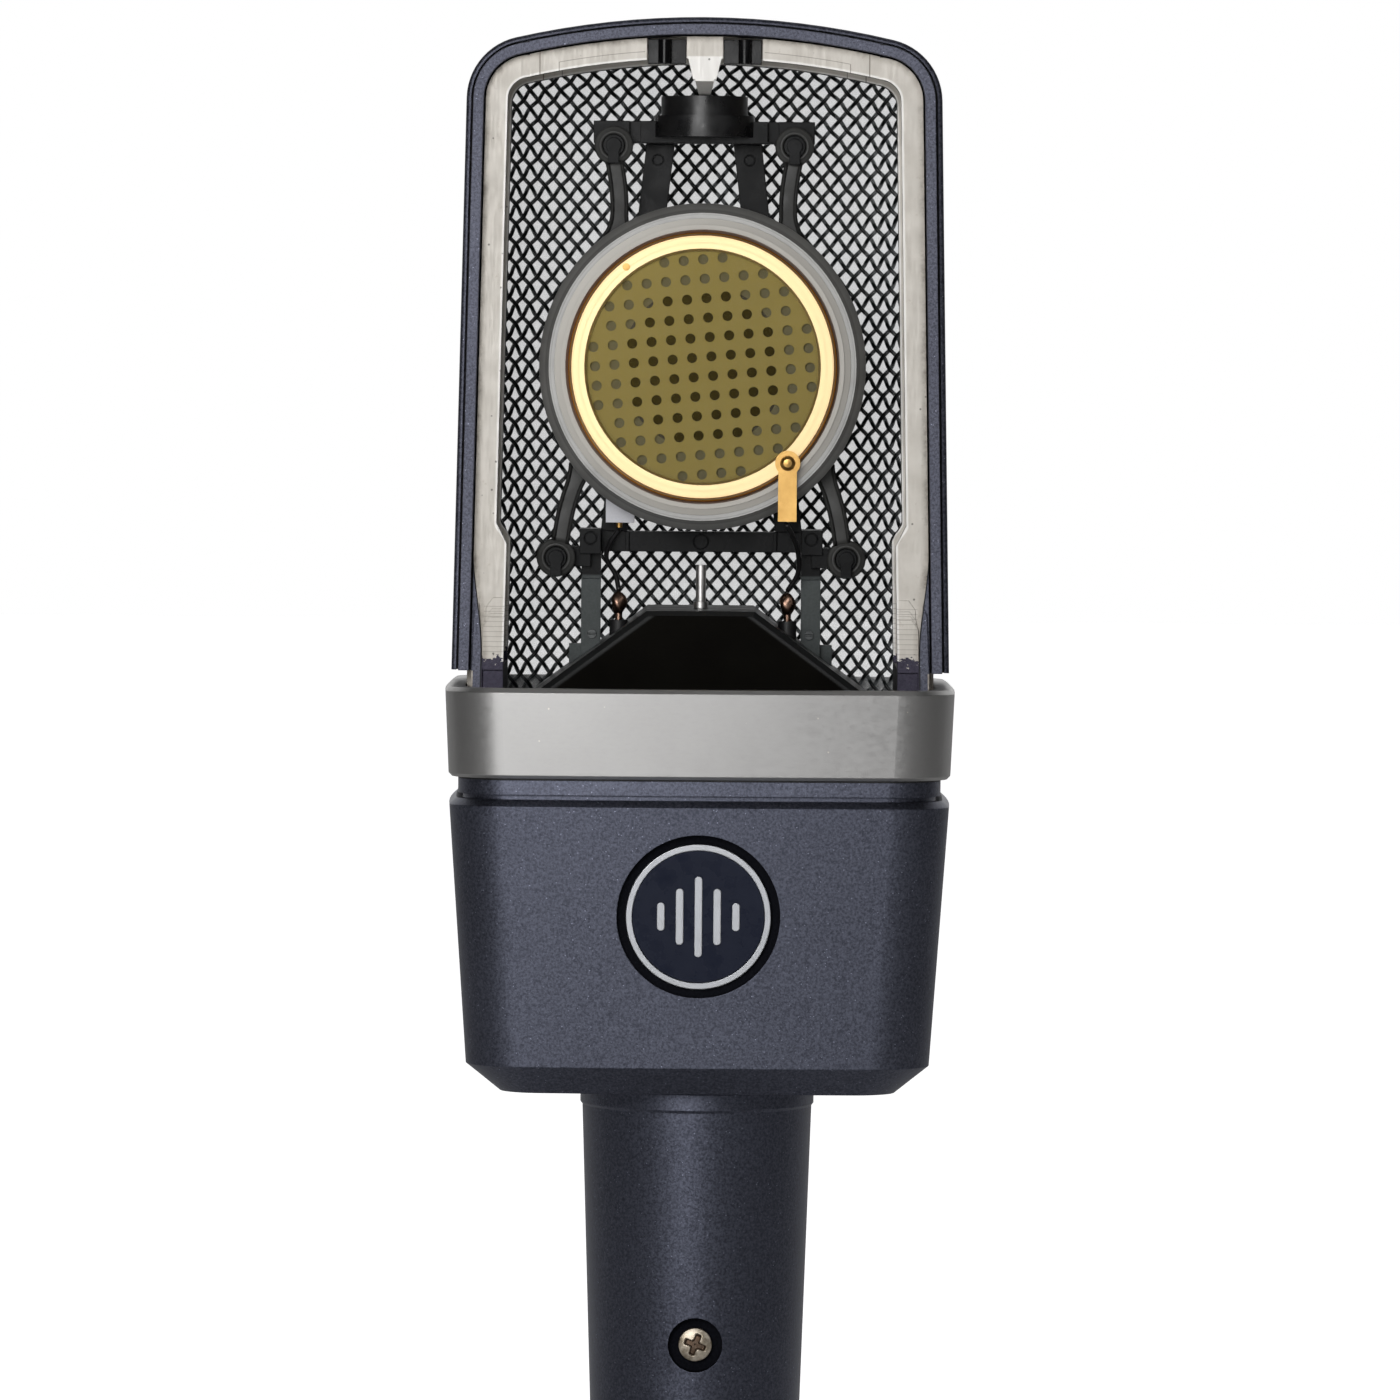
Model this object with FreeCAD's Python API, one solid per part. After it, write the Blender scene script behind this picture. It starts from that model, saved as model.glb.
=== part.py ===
import FreeCAD, Part
import math
import os
from FreeCAD import Vector

# Large-diaphragm condenser microphone with its front grille off, millimetres.
# +Z is up, -Y is the front that is sung into, and the origin is the centre of
# the handle's bottom end.

# ---- driving dimensions ----------------------------------------------------
HEAD_TOP_Z = 160.0

# head hoop: an arch seen from the front, with slightly splayed sides
HOOP_HALF_WIDTH = 26.77        # at HOOP_SKIN_Z
HOOP_SPLAY = 0.0202           # how far the side leans in, per mm of height
HOOP_ARCH_R = 90.0
HOOP_CORNER_R = 6.8
HOOP_SKIN_Z = 89.8            # the outer skin ends here, above the collar
HOOP_BAND_Y = 10.5            # half depth of the outer band
HOOP_RIM_Y = 12.8             # half depth over the rims that frame the grilles
HOOP_SEAT_Y = 11.3            # half depth over the ledges the grilles sit on
HOOP_SEAT_BACK_Y = 9.5
BAND_LIP = 0.53               # insets from the outer skin, from the outside in
RIM_OUT = 0.80
RIM_IN = 1.92
LEDGE_OUT = 2.10
LEDGE_IN = 4.45
LEDGE_IN_LOW = 5.60           # the ledge is wider below LEDGE_STEP_Z
LEDGE_STEP_Z = 105.6

# collar between head and body
COLLAR_TOP_Z = 88.2
COLLAR_BOTTOM_Z = 78.6
COLLAR_HALF_X = 27.55
COLLAR_HALF_Y = 21.5
COLLAR_TAPER_X = 0.4
COLLAR_TAPER_Y = 0.3
COLLAR_WALL = 1.8
PLATE_BOTTOM_Z = 84.4         # base plate of the head, on the collar's inner flange
LEG_SCREW_X = 23.2

# body
BODY_LIP_Z = 78.4
BODY_TOP_Z = 75.6
BODY_CHAMFER_Z = 47.7
BODY_BOTTOM_Z = 44.7
BODY_HALF_X = 27.05
BODY_HALF_Y = 21.0
BODY_LOW_HALF_X = 25.1
BODY_LOW_HALF_Y = 19.4
BODY_CHAMFER = 2.8            # front and back
BODY_CHAMFER_X = 3.7          # sides
BODY_WALL = 2.0
BODY_FLOOR = 2.3
PLAN_CORNER_R = 6.5
PLAN_BOW_R = 360.0            # large radius of the gently bowed sides

# handle and its audio connector
HANDLE_TOP_R = 12.47
HANDLE_END_R = 11.12
NECK_R = 12.7
NECK_Z = 42.6
SPIGOT_R = 10.2
SPIGOT_TOP_Z = 51.4
SOCKET_R = 8.1
SOCKET_DEPTH = 14.5
PIN_R = 1.2
PIN_SPACING = 9.53            # between the two outer contacts
PIN_DROP = 4.76               # third contact, towards the front
PIN_SHOULDER_R = 1.5          # where a contact sits in the insert
SCREW_Z = 17.2

# capsule, centred on its own front-to-back axis
CAPSULE_Z = 122.5
CAPSULE_R = 17.65
CAPSULE_CORE_R = 16.0
SEAT_RING_R = 16.0
GOLD_RING_R = 14.5
GOLD_BORE_R = 12.5
HOLE_PITCH = 2.1
HOLE_R = 0.55
HOLE_TILT_DEG = 5.3

# capsule frame and its rubber suspension
PEG_R = 1.15
LOOP_R = 2.1
LOOP_BORE_R = 1.21
UPPER_PEG = (9.8, 146.4)
LOWER_PEG = (15.75, 101.7)
ARM_WIDTH = 1.7
ARM_FRONT_Y = -1.4
ARM_BACK_Y = 0.2

# roof-shaped cover under the capsule
ROOF_BASE_Z = 86.0
ROOF_TOP_Z = 96.3
ROOF_BASE_X = 19.7
ROOF_TOP_X = 5.8
ROOF_HALF_Y = 12.0
ROOF_WALL = 1.2

# rear grille
MESH_EDGE_Y = 11.4
MESH_BULGE = 7.3
MESH_BOTTOM_Z = 86.3
MESH_INSET = 3.5

# badge and side switches
BADGE_Z = 64.0
BADGE_RECESS_R = 8.7
BADGE_R = 7.8
BADGE_RIM = 0.8
SWITCH_Z = 61.7
SWITCH_RECESS_HALF_Y = 8.0
SWITCH_RECESS_R = 5.3
SWITCH_FLOOR_X = 24.9
KNOB_TRAVEL = 2.0

X_AXIS = Vector(1, 0, 0)
Y_AXIS = Vector(0, 1, 0)
Z_AXIS = Vector(0, 0, 1)


# ---- general helpers -------------------------------------------------------
def box(x0, x1, y0, y1, z0, z1):
    return Part.makeBox(x1 - x0, y1 - y0, z1 - z0, Vector(x0, y0, z0))


def cylinder_y(r, x, z, y0, y1):
    return Part.makeCylinder(r, y1 - y0, Vector(x, y0, z), Y_AXIS)


def cylinder_z(r, x, y, z0, z1):
    return Part.makeCylinder(r, z1 - z0, Vector(x, y, z0), Z_AXIS)


def ring_y(r_out, r_in, y0, y1, x=0.0, z=CAPSULE_Z):
    return cylinder_y(r_out, x, z, y0, y1).cut(cylinder_y(r_in, x, z, y0 - 1, y1 + 1))


def fuse(shapes):
    whole = shapes[0]
    if len(shapes) > 1:
        whole = whole.multiFuse(shapes[1:])
    return whole.removeSplitter()


def mirrored(shape):
    return shape.mirror(Vector(0, 0, 0), X_AXIS)


def both_sides(shape):
    return [shape, mirrored(shape)]


def group(solids):
    return Part.makeCompound(solids)


def front_prism(points, y0, y1):
    """A polygon of (x, z) points, carried from y0 to y1."""
    corners = [Vector(x, y0, z) for x, z in points]
    face = Part.Face(Part.makePolygon(corners + corners[:1]))
    return face.extrude(Vector(0, y1 - y0, 0))


def side_prism(points, x0, x1):
    """A polygon of (y, z) points, carried from x0 to x1."""
    corners = [Vector(x0, y, z) for y, z in points]
    face = Part.Face(Part.makePolygon(corners + corners[:1]))
    return face.extrude(Vector(x1 - x0, 0, 0))


def turned(profile, base, axis, side):
    """A solid turned about an axis: profile points are (radius, distance along the axis)."""
    corners = [base + side * r + axis * t for r, t in profile]
    face = Part.Face(Part.makePolygon(corners + corners[:1]))
    return face.revolve(base, axis, 360)


def turned_z(profile, x=0.0, y=0.0):
    return turned(profile, Vector(x, y, 0), Z_AXIS, X_AXIS)


def turned_capsule(profile):
    return turned(profile, Vector(0, 0, CAPSULE_Z), Y_AXIS, X_AXIS)


def arc(start, middle, end):
    return Part.Arc(start, middle, end).toShape()


def line(start, end):
    return Part.LineSegment(start, end).toShape()


# ---- the arch outline of the head ------------------------------------------
def side_x(z, inset=0.0):
    """Half width of the hoop at a height, a given distance inside its skin."""
    lean = math.hypot(1.0, HOOP_SPLAY)
    return HOOP_HALF_WIDTH - HOOP_SPLAY * (z - HOOP_SKIN_Z) - inset * lean


def arch_wire(inset, bottom_z, y):
    lean = math.hypot(1.0, HOOP_SPLAY)
    up_x, up_z = -HOOP_SPLAY / lean, 1.0 / lean
    in_x, in_z = -1.0 / lean, -HOOP_SPLAY / lean
    arch_z = HEAD_TOP_Z - HOOP_ARCH_R
    start_x = HOOP_HALF_WIDTH + in_x * HOOP_CORNER_R
    start_z = HOOP_SKIN_Z + in_z * HOOP_CORNER_R
    # the corner's centre lies on the inset side line and inside the top arc
    reach = HOOP_ARCH_R - HOOP_CORNER_R
    half_b = start_x * up_x + (start_z - arch_z) * up_z
    rest = start_x ** 2 + (start_z - arch_z) ** 2 - reach ** 2
    climb = -half_b + math.sqrt(half_b ** 2 - rest)
    centre_x = start_x + up_x * climb
    centre_z = start_z + up_z * climb
    radius = HOOP_CORNER_R - inset
    side_angle = math.atan2(-in_z, -in_x)
    top_angle = math.atan2(centre_z - arch_z, centre_x)

    def corner(angle, mirror=1):
        x = centre_x + radius * math.cos(angle)
        return Vector(mirror * x, y, centre_z + radius * math.sin(angle))

    middle_angle = (side_angle + top_angle) / 2
    crown = Vector(0, y, HEAD_TOP_Z - inset)
    low_right = Vector(side_x(bottom_z, inset), y, bottom_z)
    low_left = Vector(-side_x(bottom_z, inset), y, bottom_z)
    edges = [
        line(low_right, corner(side_angle)),
        arc(corner(side_angle), corner(middle_angle), corner(top_angle)),
        arc(corner(top_angle), crown, corner(top_angle, -1)),
        arc(corner(top_angle, -1), corner(middle_angle, -1), corner(side_angle, -1)),
        line(corner(side_angle, -1), low_left),
        line(low_left, low_right),
    ]
    return Part.Wire(edges)


def arch(inset, y0, y1, bottom_z=HOOP_SKIN_Z):
    face = Part.Face(arch_wire(inset, bottom_z, y0))
    return face.extrude(Vector(0, y1 - y0, 0))


def arch_band(outer, inner, y0, y1, bottom_z=HOOP_SKIN_Z):
    hole = arch(inner, y0 - 1, y1 + 1, bottom_z - 1)
    return arch(outer, y0, y1, bottom_z).cut(hole)


# ---- the rounded plan of collar and body -----------------------------------
def plan_wire(half_x, half_y, corner_r, z, inset=0.0):
    hx, hy, r = half_x - inset, half_y - inset, corner_r - inset
    bow = PLAN_BOW_R - inset
    reach = bow - r
    # corner centre: where circles of radius reach about the two bow centres meet
    ax, by = hx - bow, bow - hy
    apart = math.hypot(ax, by)
    rise = math.sqrt(reach ** 2 - (apart / 2) ** 2)
    cx = ax / 2 + rise * by / apart
    cy = by / 2 + rise * ax / apart
    side_angle = math.atan2(cy, cx - ax)
    front_angle = math.atan2(cy - by, cx)

    def corner(angle, sx, sy):
        return Vector(sx * (cx + r * math.cos(angle)), -sy * (cy + r * math.sin(angle)), z)

    middle = (side_angle + front_angle) / 2
    edges = []
    quarters = [(1, 1), (1, -1), (-1, -1), (-1, 1)]
    for index, (sx, sy) in enumerate(quarters):
        first, last = (front_angle, side_angle) if sx * sy > 0 else (side_angle, front_angle)
        edges.append(arc(corner(first, sx, sy), corner(middle, sx, sy), corner(last, sx, sy)))
        nx, ny = quarters[(index + 1) % 4]
        after = side_angle if index % 2 == 0 else front_angle
        crown = Vector(sx * hx, 0, z) if index % 2 == 0 else Vector(0, sy * hy, z)
        edges.append(arc(corner(after, sx, sy), crown, corner(after, nx, ny)))
    return Part.Wire(edges)


def plan_loft(sections, inset=0.0):
    """Sections are (z, half x, half y, corner radius), from the bottom up."""
    wires = [plan_wire(hx, hy, r, z, inset) for z, hx, hy, r in sections]
    return Part.makeLoft(wires, True, True)


# ---- head: hoop, grille and frame ------------------------------------------
def hoop_ledges(front):
    """Inward ledge that a grille sits on, with its wider lower stretch."""
    y0, y1 = (-HOOP_SEAT_Y, -HOOP_SEAT_BACK_Y) if front else (HOOP_SEAT_BACK_Y, HOOP_SEAT_Y)
    ledge = arch_band(LEDGE_OUT - 0.01, LEDGE_IN, y0, y1)
    into_ledge = LEDGE_IN - 0.3
    points = [
        (side_x(HOOP_SKIN_Z, into_ledge), HOOP_SKIN_Z),
        (side_x(LEDGE_STEP_Z, into_ledge), LEDGE_STEP_Z),
        (side_x(LEDGE_STEP_Z, LEDGE_IN), LEDGE_STEP_Z),
        (side_x(LEDGE_STEP_Z - 2.2, LEDGE_IN_LOW), LEDGE_STEP_Z - 2.2),
        (side_x(HOOP_SKIN_Z, LEDGE_IN_LOW), HOOP_SKIN_Z),
    ]
    return fuse([ledge] + both_sides(front_prism(points, y0, y1)))


def ledge_terraces():
    """Low machined terraces on the front ledge, just above the collar."""
    steps = []
    inner = LEDGE_IN_LOW - 0.01
    for index, top_z in enumerate((97.6, 96.4, 95.9, 95.5)):
        outer = 3.6 - 0.1 * index
        face_y = -HOOP_SEAT_Y - 0.08 * (index + 1)
        points = [
            (side_x(HOOP_SKIN_Z, outer), HOOP_SKIN_Z),
            (side_x(top_z - 1.0, outer), top_z - 1.0),
            (side_x(top_z, outer + 0.7), top_z),
            (side_x(top_z, inner), top_z),
            (side_x(HOOP_SKIN_Z, inner), HOOP_SKIN_Z),
        ]
        steps += both_sides(front_prism(points, face_y, -HOOP_SEAT_Y + 0.2))
    return steps


def hoop_legs():
    """Feet that carry on below the skin and stand on the base plate."""
    inner = side_x(HOOP_SKIN_Z, LEDGE_IN_LOW)
    leg = box(inner, 24.6, -HOOP_SEAT_Y, HOOP_SEAT_Y, ROOF_BASE_Z, HOOP_SKIN_Z + 0.4)
    shoulder = box(24.4, 25.2, -6.0, 6.0, ROOF_BASE_Z, HOOP_SKIN_Z + 0.4)
    pillar_points = [(24.6, HOOP_SKIN_Z), (24.3, 96.0), (23.8, 97.0), (23.4, HOOP_SKIN_Z)]
    pillar = front_prism(pillar_points, -HOOP_SEAT_Y - 0.35, -HOOP_SEAT_Y + 0.2)
    pillar_foot = box(23.4, 24.6, -HOOP_SEAT_Y - 0.35, -HOOP_SEAT_Y, ROOF_BASE_Z, HOOP_SKIN_Z)
    hole = cylinder_z(0.8, LEG_SCREW_X, 0, ROOF_BASE_Z - 1, ROOF_BASE_Z + 3)
    leg = fuse([leg, shoulder, pillar, pillar_foot]).cut(hole)
    return both_sides(leg)


def hoop_tongue():
    """Tapered tongue at the top centre that bends back onto the rubber buffer."""
    top_z = HEAD_TOP_Z - RIM_IN - 0.3
    blade = front_prism(
        [(-1.95, top_z), (-1.95, 156.2), (-1.25, 153.3), (1.25, 153.3), (1.95, 156.2), (1.95, top_z)],
        -HOOP_SEAT_Y, -HOOP_SEAT_Y + 0.9)
    side = side_prism(
        [(-HOOP_SEAT_Y, 153.9), (-HOOP_SEAT_Y, 153.1), (-1.2, 151.8), (-1.2, 152.5)], -1.25, 1.25)
    sides = front_prism([(-1.25, 154), (-0.55, 151.7), (0.55, 151.7), (1.25, 154)], -12, 0)
    tip = side.common(sides)
    return fuse([blade, tip])


def hoop_frame():
    wall = arch_band(0.0, LEDGE_OUT, -HOOP_BAND_Y, HOOP_BAND_Y)
    rims = []
    grooves = []
    for sign in (-1, 1):
        y0, y1 = sorted((sign * (HOOP_BAND_Y - 2.0), sign * HOOP_RIM_Y))
        rims.append(arch_band(RIM_OUT, RIM_IN, y0, y1))
        y0, y1 = sorted((sign * (HOOP_BAND_Y - 1.4), sign * (HOOP_BAND_Y + 0.1)))
        grooves.append(arch_band(BAND_LIP, RIM_OUT, y0, y1, HOOP_SKIN_Z - 1))
        y0, y1 = sorted((sign * (HOOP_SEAT_Y - 0.5), sign * (HOOP_SEAT_Y + 0.1)))
        grooves.append(arch_band(RIM_IN, LEDGE_OUT, y0, y1, HOOP_SKIN_Z - 1))
    edges = [edge for edge in wall.Edges if on_outer_skin(edge)]
    wall = wall.makeFillet(0.45, edges)
    parts = [wall] + rims + [hoop_ledges(True), hoop_ledges(False)]
    notch_z0, notch_z1 = HEAD_TOP_Z - LEDGE_IN - 1.0, HEAD_TOP_Z - RIM_IN - 0.25
    notches = both_sides(box(1.95, 6.2, -HOOP_SEAT_Y - 1, -HOOP_SEAT_BACK_Y + 1, notch_z0, notch_z1))
    frame = fuse(parts).cut(grooves + notches)
    return fuse([frame] + hoop_legs() + ledge_terraces() + [hoop_tongue()])


def on_outer_skin(edge):
    """True for the long edges where the band's skin meets its front and rear faces."""
    middle = edge.valueAt((edge.FirstParameter + edge.LastParameter) / 2)
    at_face = abs(abs(middle.y) - HOOP_BAND_Y) < 0.01
    start, end = edge.Vertexes[0].Point, edge.Vertexes[-1].Point
    level = abs(start.z - end.z) < 0.01 and middle.z < HOOP_SKIN_Z + 0.1
    outside = middle.z > HEAD_TOP_Z - 1 or abs(middle.x) > side_x(middle.z, 1.0)
    corner = middle.z > 150 and math.hypot(abs(middle.x) - 19.76, middle.z - 151.7) > 5.4
    return at_face and not level and (outside or corner)


def hoop_screws():
    screws = []
    head_z = PLATE_BOTTOM_Z - 1.1
    for x in (-LEG_SCREW_X, LEG_SCREW_X):
        shank = cylinder_z(0.78, x, 0, PLATE_BOTTOM_Z, ROOF_BASE_Z + 2.8)
        head = cylinder_z(1.5, x, 0, head_z, PLATE_BOTTOM_Z)
        slot = box(x - 1.6, x + 1.6, -0.2, 0.2, head_z - 0.3, head_z + 0.5)
        screws.append(fuse([shank, head]).cut(slot))
    return group(screws)


def grille_clip_posts():
    """Black plastic catches for the front grille in the two notches at the top."""
    catches = []
    for sign in (-1, 1):
        block = box(2.0, 6.1, -9.5, -7.6, 155.0, 157.6)
        post = cylinder_z(0.72, 4.3, -10.3, 155.0, 157.6)
        web = box(3.9, 4.7, -10.3, -9.4, 155.0, 157.6)
        catch = fuse([block, post, web])
        catches.append(catch if sign > 0 else mirrored(catch))
    return group(catches)


def bulge(x, z):
    """How far the rear grille stands behind its edge, at a point of the front view."""
    across = min(abs(x) / side_x(z, LEDGE_OUT), 1.15)
    middle_z = 118.0
    crown_z = HEAD_TOP_Z - LEDGE_OUT - x * x / (2 * HOOP_ARCH_R)
    along = max(z - middle_z, 0.0) / (crown_z - middle_z)
    return MESH_BULGE * (1 - across ** 4.5) * (1 - min(along, 1.15) ** 5)


def mesh_sheet(back_off, thickness):
    """The bulged sheet of a grille layer, cut to the opening of the hoop."""
    columns = [-26 + 2.0 * i for i in range(27)]
    rows = [MESH_BOTTOM_Z - 1 + 2.5 * j for j in range(31)]
    base_y = MESH_EDGE_Y - back_off
    surface = Part.BSplineSurface()
    surface.interpolate([[Vector(x, base_y + bulge(x, z), z) for z in rows] for x in columns])
    sheet = surface.toShape().extrude(Vector(0, thickness, 0))
    return sheet.common(arch(MESH_INSET, 5, 25, MESH_BOTTOM_Z))


def rear_mesh_rim():
    """Folded edge of the rear grille, seated in the hoop's rear rim."""
    return arch_band(LEDGE_OUT + 0.05, MESH_INSET, HOOP_SEAT_Y, HOOP_SEAT_Y + 2.3)


def top_buffer():
    """Two stacked rubber discs that sit over the frame's top bar."""
    profile = [(0, 147.4), (5.5, 147.4), (5.5, 149.7), (4.7, 149.7), (4.7, 151.8), (0, 151.8)]
    discs = turned_z(profile, 0, 1.8)
    return discs.cut(capsule_frame())


def frame_top_bar():
    return box(-12.0, 12.0, 0.4, 3.2, 146.7, 149.1)


def keyhole_peg(x, z):
    """A peg for a rubber loop, with a round head and a tail that points down."""
    stem = cylinder_y(PEG_R, x, z, ARM_FRONT_Y - 0.25, 0.5)
    head = cylinder_y(0.83, x, z, ARM_FRONT_Y - 0.8, ARM_FRONT_Y - 0.2)
    tail = box(x - 0.6, x + 0.6, ARM_FRONT_Y - 0.8, ARM_FRONT_Y - 0.3, z - 1.95, z)
    boss = cylinder_y(1.7, x, z, 0.4, 2.4)
    return [stem, head, tail, boss]


def capsule_frame():
    """Moulded frame behind the capsule: top bar, struts, lower bar, brackets and legs."""
    right = []
    right += keyhole_peg(*UPPER_PEG)
    right += keyhole_peg(*LOWER_PEG)
    right.append(box(2.9, 6.1, 3.0, 7.6, 146.7, 149.1))
    strut = [(2.95, 149.0), (6.05, 149.0), (11.2, 102.6), (8.3, 102.6)]
    right.append(front_prism(strut, 6.0, 7.6))
    rib = [(4.3, 146.5), (4.7, 146.5), (9.9, 104.6), (9.5, 104.6)]
    right.append(front_prism(rib, 7.4, 8.2))
    right.append(box(10.9, 13.2, 0.2, 7.6, 102.1, 104.8))
    right.append(box(10.9, 13.0, 2.2, 4.6, 98.6, 102.3))
    right.append(box(10.9, 13.0, 0.2, 3.2, 90.0, 99.4))
    right.append(box(10.9, 14.3, 1.2, 3.2, 89.0, 92.3))
    right.append(box(12.0, LOWER_PEG[0], 0.6, 2.4, 100.7, 102.9))
    bars = [frame_top_bar(), box(-11.0, 11.0, 4.0, 7.6, 102.3, 104.5)]
    bars += [box(sign * 8.05 - 0.2, sign * 8.05 + 0.2, 3.8, 4.4, 102.3, 104.5) for sign in (-1, 1)]
    frame = fuse(bars + right + [mirrored(shape) for shape in right])
    pockets = []
    for sign in (-1, 1):
        pockets.append(box(sign * 7.5 - 0.6, sign * 7.5 + 0.6, 0.0, 1.6, 146.9, 149.3))
        pockets.append(ring_y(0.62, 0.52, 5.9, 6.12, sign * 5.0, 145.0))
        pockets.append(ring_y(0.72, 0.60, 0.1, 0.32, sign * 12.0, 103.8))
    pockets.append(ring_y(0.85, 0.75, 3.9, 4.12, 0.0, 103.4))
    return frame.cut(pockets).cut(roof_prism(0.0, -20, 20))


def frame_screws():
    """Screw heads at the feet of the frame's legs."""
    screws = []
    for sign in (-1, 1):
        head = cylinder_y(0.52, sign * 11.8, 93.4, 0.0, 0.2)
        screws.append(head.cut(box(sign * 11.8 - 0.6, sign * 11.8 + 0.6, -0.1, 0.08, 93.32, 93.48)))
    return group(screws)


# ---- capsule ---------------------------------------------------------------
def suspension_ring():
    return ring_y(17.0, CAPSULE_CORE_R, -1.8, 0.6)


def suspension_arm(peg, ring_x, ring_half):
    """Rubber arm from the ring round the capsule to a loop on a peg."""
    x, z = peg
    to_ring = 1 if z < CAPSULE_Z else -1
    ring_z = CAPSULE_Z - to_ring * math.sqrt(16.4 ** 2 - ring_x ** 2)
    dx, dz = ring_x - x, ring_z - z
    length = math.hypot(dx, dz)
    px, pz = -dz / length, dx / length
    narrow, wide = ARM_WIDTH / 2, ring_half
    neck = 0.72
    points = [
        (x + px * narrow, z + pz * narrow),
        (x + dx * neck + px * narrow, z + dz * neck + pz * narrow),
        (ring_x + px * wide, ring_z + pz * wide),
        (ring_x - px * wide, ring_z - pz * wide),
        (x + dx * neck - px * narrow, z + dz * neck - pz * narrow),
        (x - px * narrow, z - pz * narrow),
    ]
    strap = front_prism(points, ARM_FRONT_Y, ARM_BACK_Y)
    loop = cylinder_y(LOOP_R, x, z, ARM_FRONT_Y, ARM_BACK_Y)
    bead = cylinder_y(1.5, x, z, ARM_FRONT_Y - 0.12, ARM_FRONT_Y + 0.1)
    bore = cylinder_y(LOOP_BORE_R, x, z, -3, 2)
    ring_space = cylinder_y(17.0, 0, CAPSULE_Z, -3, 2)
    return fuse([strap, loop, bead]).cut([bore, ring_space])


def suspension_arms():
    upper = suspension_arm(UPPER_PEG, 9.0, 1.5)
    lower = suspension_arm(LOWER_PEG, 13.0, 1.4)
    return group(both_sides(upper) + both_sides(lower))


def capsule_housing():
    """Black turned housing with a wide front flange."""
    profile = [
        (SEAT_RING_R + 0.02, -5.9), (16.6, -5.9), (CAPSULE_R, -4.6), (CAPSULE_R, -2.3),
        (17.4, -2.0), (CAPSULE_CORE_R, -2.0), (CAPSULE_CORE_R, 3.4), (15.6, 3.8),
        (14.2, 3.8), (14.2, -3.6), (SEAT_RING_R + 0.02, -3.6),
    ]
    return turned_capsule(profile)


def capsule_seat_ring():
    """Stepped nickel ring between the housing and the gold ring."""
    profile = [
        (GOLD_RING_R + 0.02, -5.7), (14.8, -6.3), (15.3, -6.3), (15.3, -6.05),
        (SEAT_RING_R, -5.95), (SEAT_RING_R, -3.6), (GOLD_RING_R + 0.02, -3.6),
    ]
    return turned_capsule(profile)


def gold_clamp_ring():
    profile = [
        (GOLD_BORE_R, -6.62), (12.75, -7.0), (14.2, -7.0), (GOLD_RING_R, -6.8),
        (GOLD_RING_R, -3.6), (13.9, -3.6), (13.9, -6.35), (GOLD_BORE_R, -6.35),
    ]
    ring = turned_capsule(profile)
    screw_x, screw_z = CONTACT_SCREW
    dowel_x, dowel_z = DOWEL
    holes = [
        cylinder_y(0.45, screw_x, screw_z, -8, -6.0),
        cylinder_y(0.40, dowel_x, dowel_z, -8, -6.0),
    ]
    return ring.cut(holes)


def diaphragm():
    return cylinder_y(13.85, 0, CAPSULE_Z, -6.35, -6.27)


def spacer_ring():
    return ring_y(13.85, 12.9, -6.27, -6.2)


def plate_holes():
    """Square grid of sound holes: eight full rows drilled through, the rest blind."""
    tilt = math.radians(HOLE_TILT_DEG)
    through, blind = [], []
    for column in range(-6, 6):
        for row in range(-6, 6):
            across, up = (column + 0.5) * HOLE_PITCH, (row + 0.5) * HOLE_PITCH
            reach = math.hypot(across, up)
            if reach > 12.0:
                continue
            x = across * math.cos(tilt) - up * math.sin(tilt)
            z = CAPSULE_Z + across * math.sin(tilt) + up * math.cos(tilt)
            inner = reach < 4.2 * HOLE_PITCH
            depth_y = -3.0 if inner else -5.6
            (through if inner else blind).append(cylinder_y(HOLE_R, x, z, -6.5, depth_y))
    return through + blind


def backplate():
    plate = cylinder_y(12.85, 0, CAPSULE_Z, -6.2, -3.6)
    return plate.cut(plate_holes())


def backplate_carrier():
    """Insulating cup that centres the backplate in the housing."""
    cup = cylinder_y(13.88, 0, CAPSULE_Z, -6.2, 1.8).cut(cylinder_y(12.86, 0, CAPSULE_Z, -7, -3.6))
    chamber = cylinder_y(11.5, 0, CAPSULE_Z, -3.7, 0.4)
    return cup.cut(chamber)


def capsule_rear_plate():
    plate = cylinder_y(14.18, 0, CAPSULE_Z, 1.8, 3.6)
    holes = [cylinder_y(0.6, x, z, -1, 5) for x, z in rear_screw_places()]
    vents = []
    for index in range(8):
        angle = math.radians(45 * index)
        x, z = 5.0 * math.cos(angle), CAPSULE_Z + 5.0 * math.sin(angle)
        vents.append(cylinder_y(0.9, x, z, -1, 5))
    return plate.cut(holes + vents)


def rear_screw_places():
    places = []
    for index in range(4):
        angle = math.radians(45 + 90 * index)
        places.append((12.4 * math.cos(angle), CAPSULE_Z + 12.4 * math.sin(angle)))
    return places


def capsule_screws():
    screws = []
    for x, z in rear_screw_places():
        head = cylinder_y(1.1, x, z, 3.6, 4.2).cut(box(x - 1.2, x + 1.2, 4.0, 4.4, z - 0.15, z + 0.15))
        screws.append(fuse([head, cylinder_y(0.58, x, z, 1.85, 3.7)]))
    return group(screws)


CONTACT_SCREW = (9.25, CAPSULE_Z - 10.3)
DOWEL = (-8.3, CAPSULE_Z + 10.7)


def contact_screw():
    """Domed screw and washer that clamp the front contact strip to the gold ring."""
    x, z = CONTACT_SCREW
    profile = [(0, -8.45), (0.45, -8.38), (0.75, -8.1), (0.82, -7.7), (1.35, -7.7), (1.35, -7.4),
               (0.43, -7.4), (0.43, -6.4), (0, -6.4)]
    return turned(profile, Vector(x, 0, z), Y_AXIS, X_AXIS)


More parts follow.
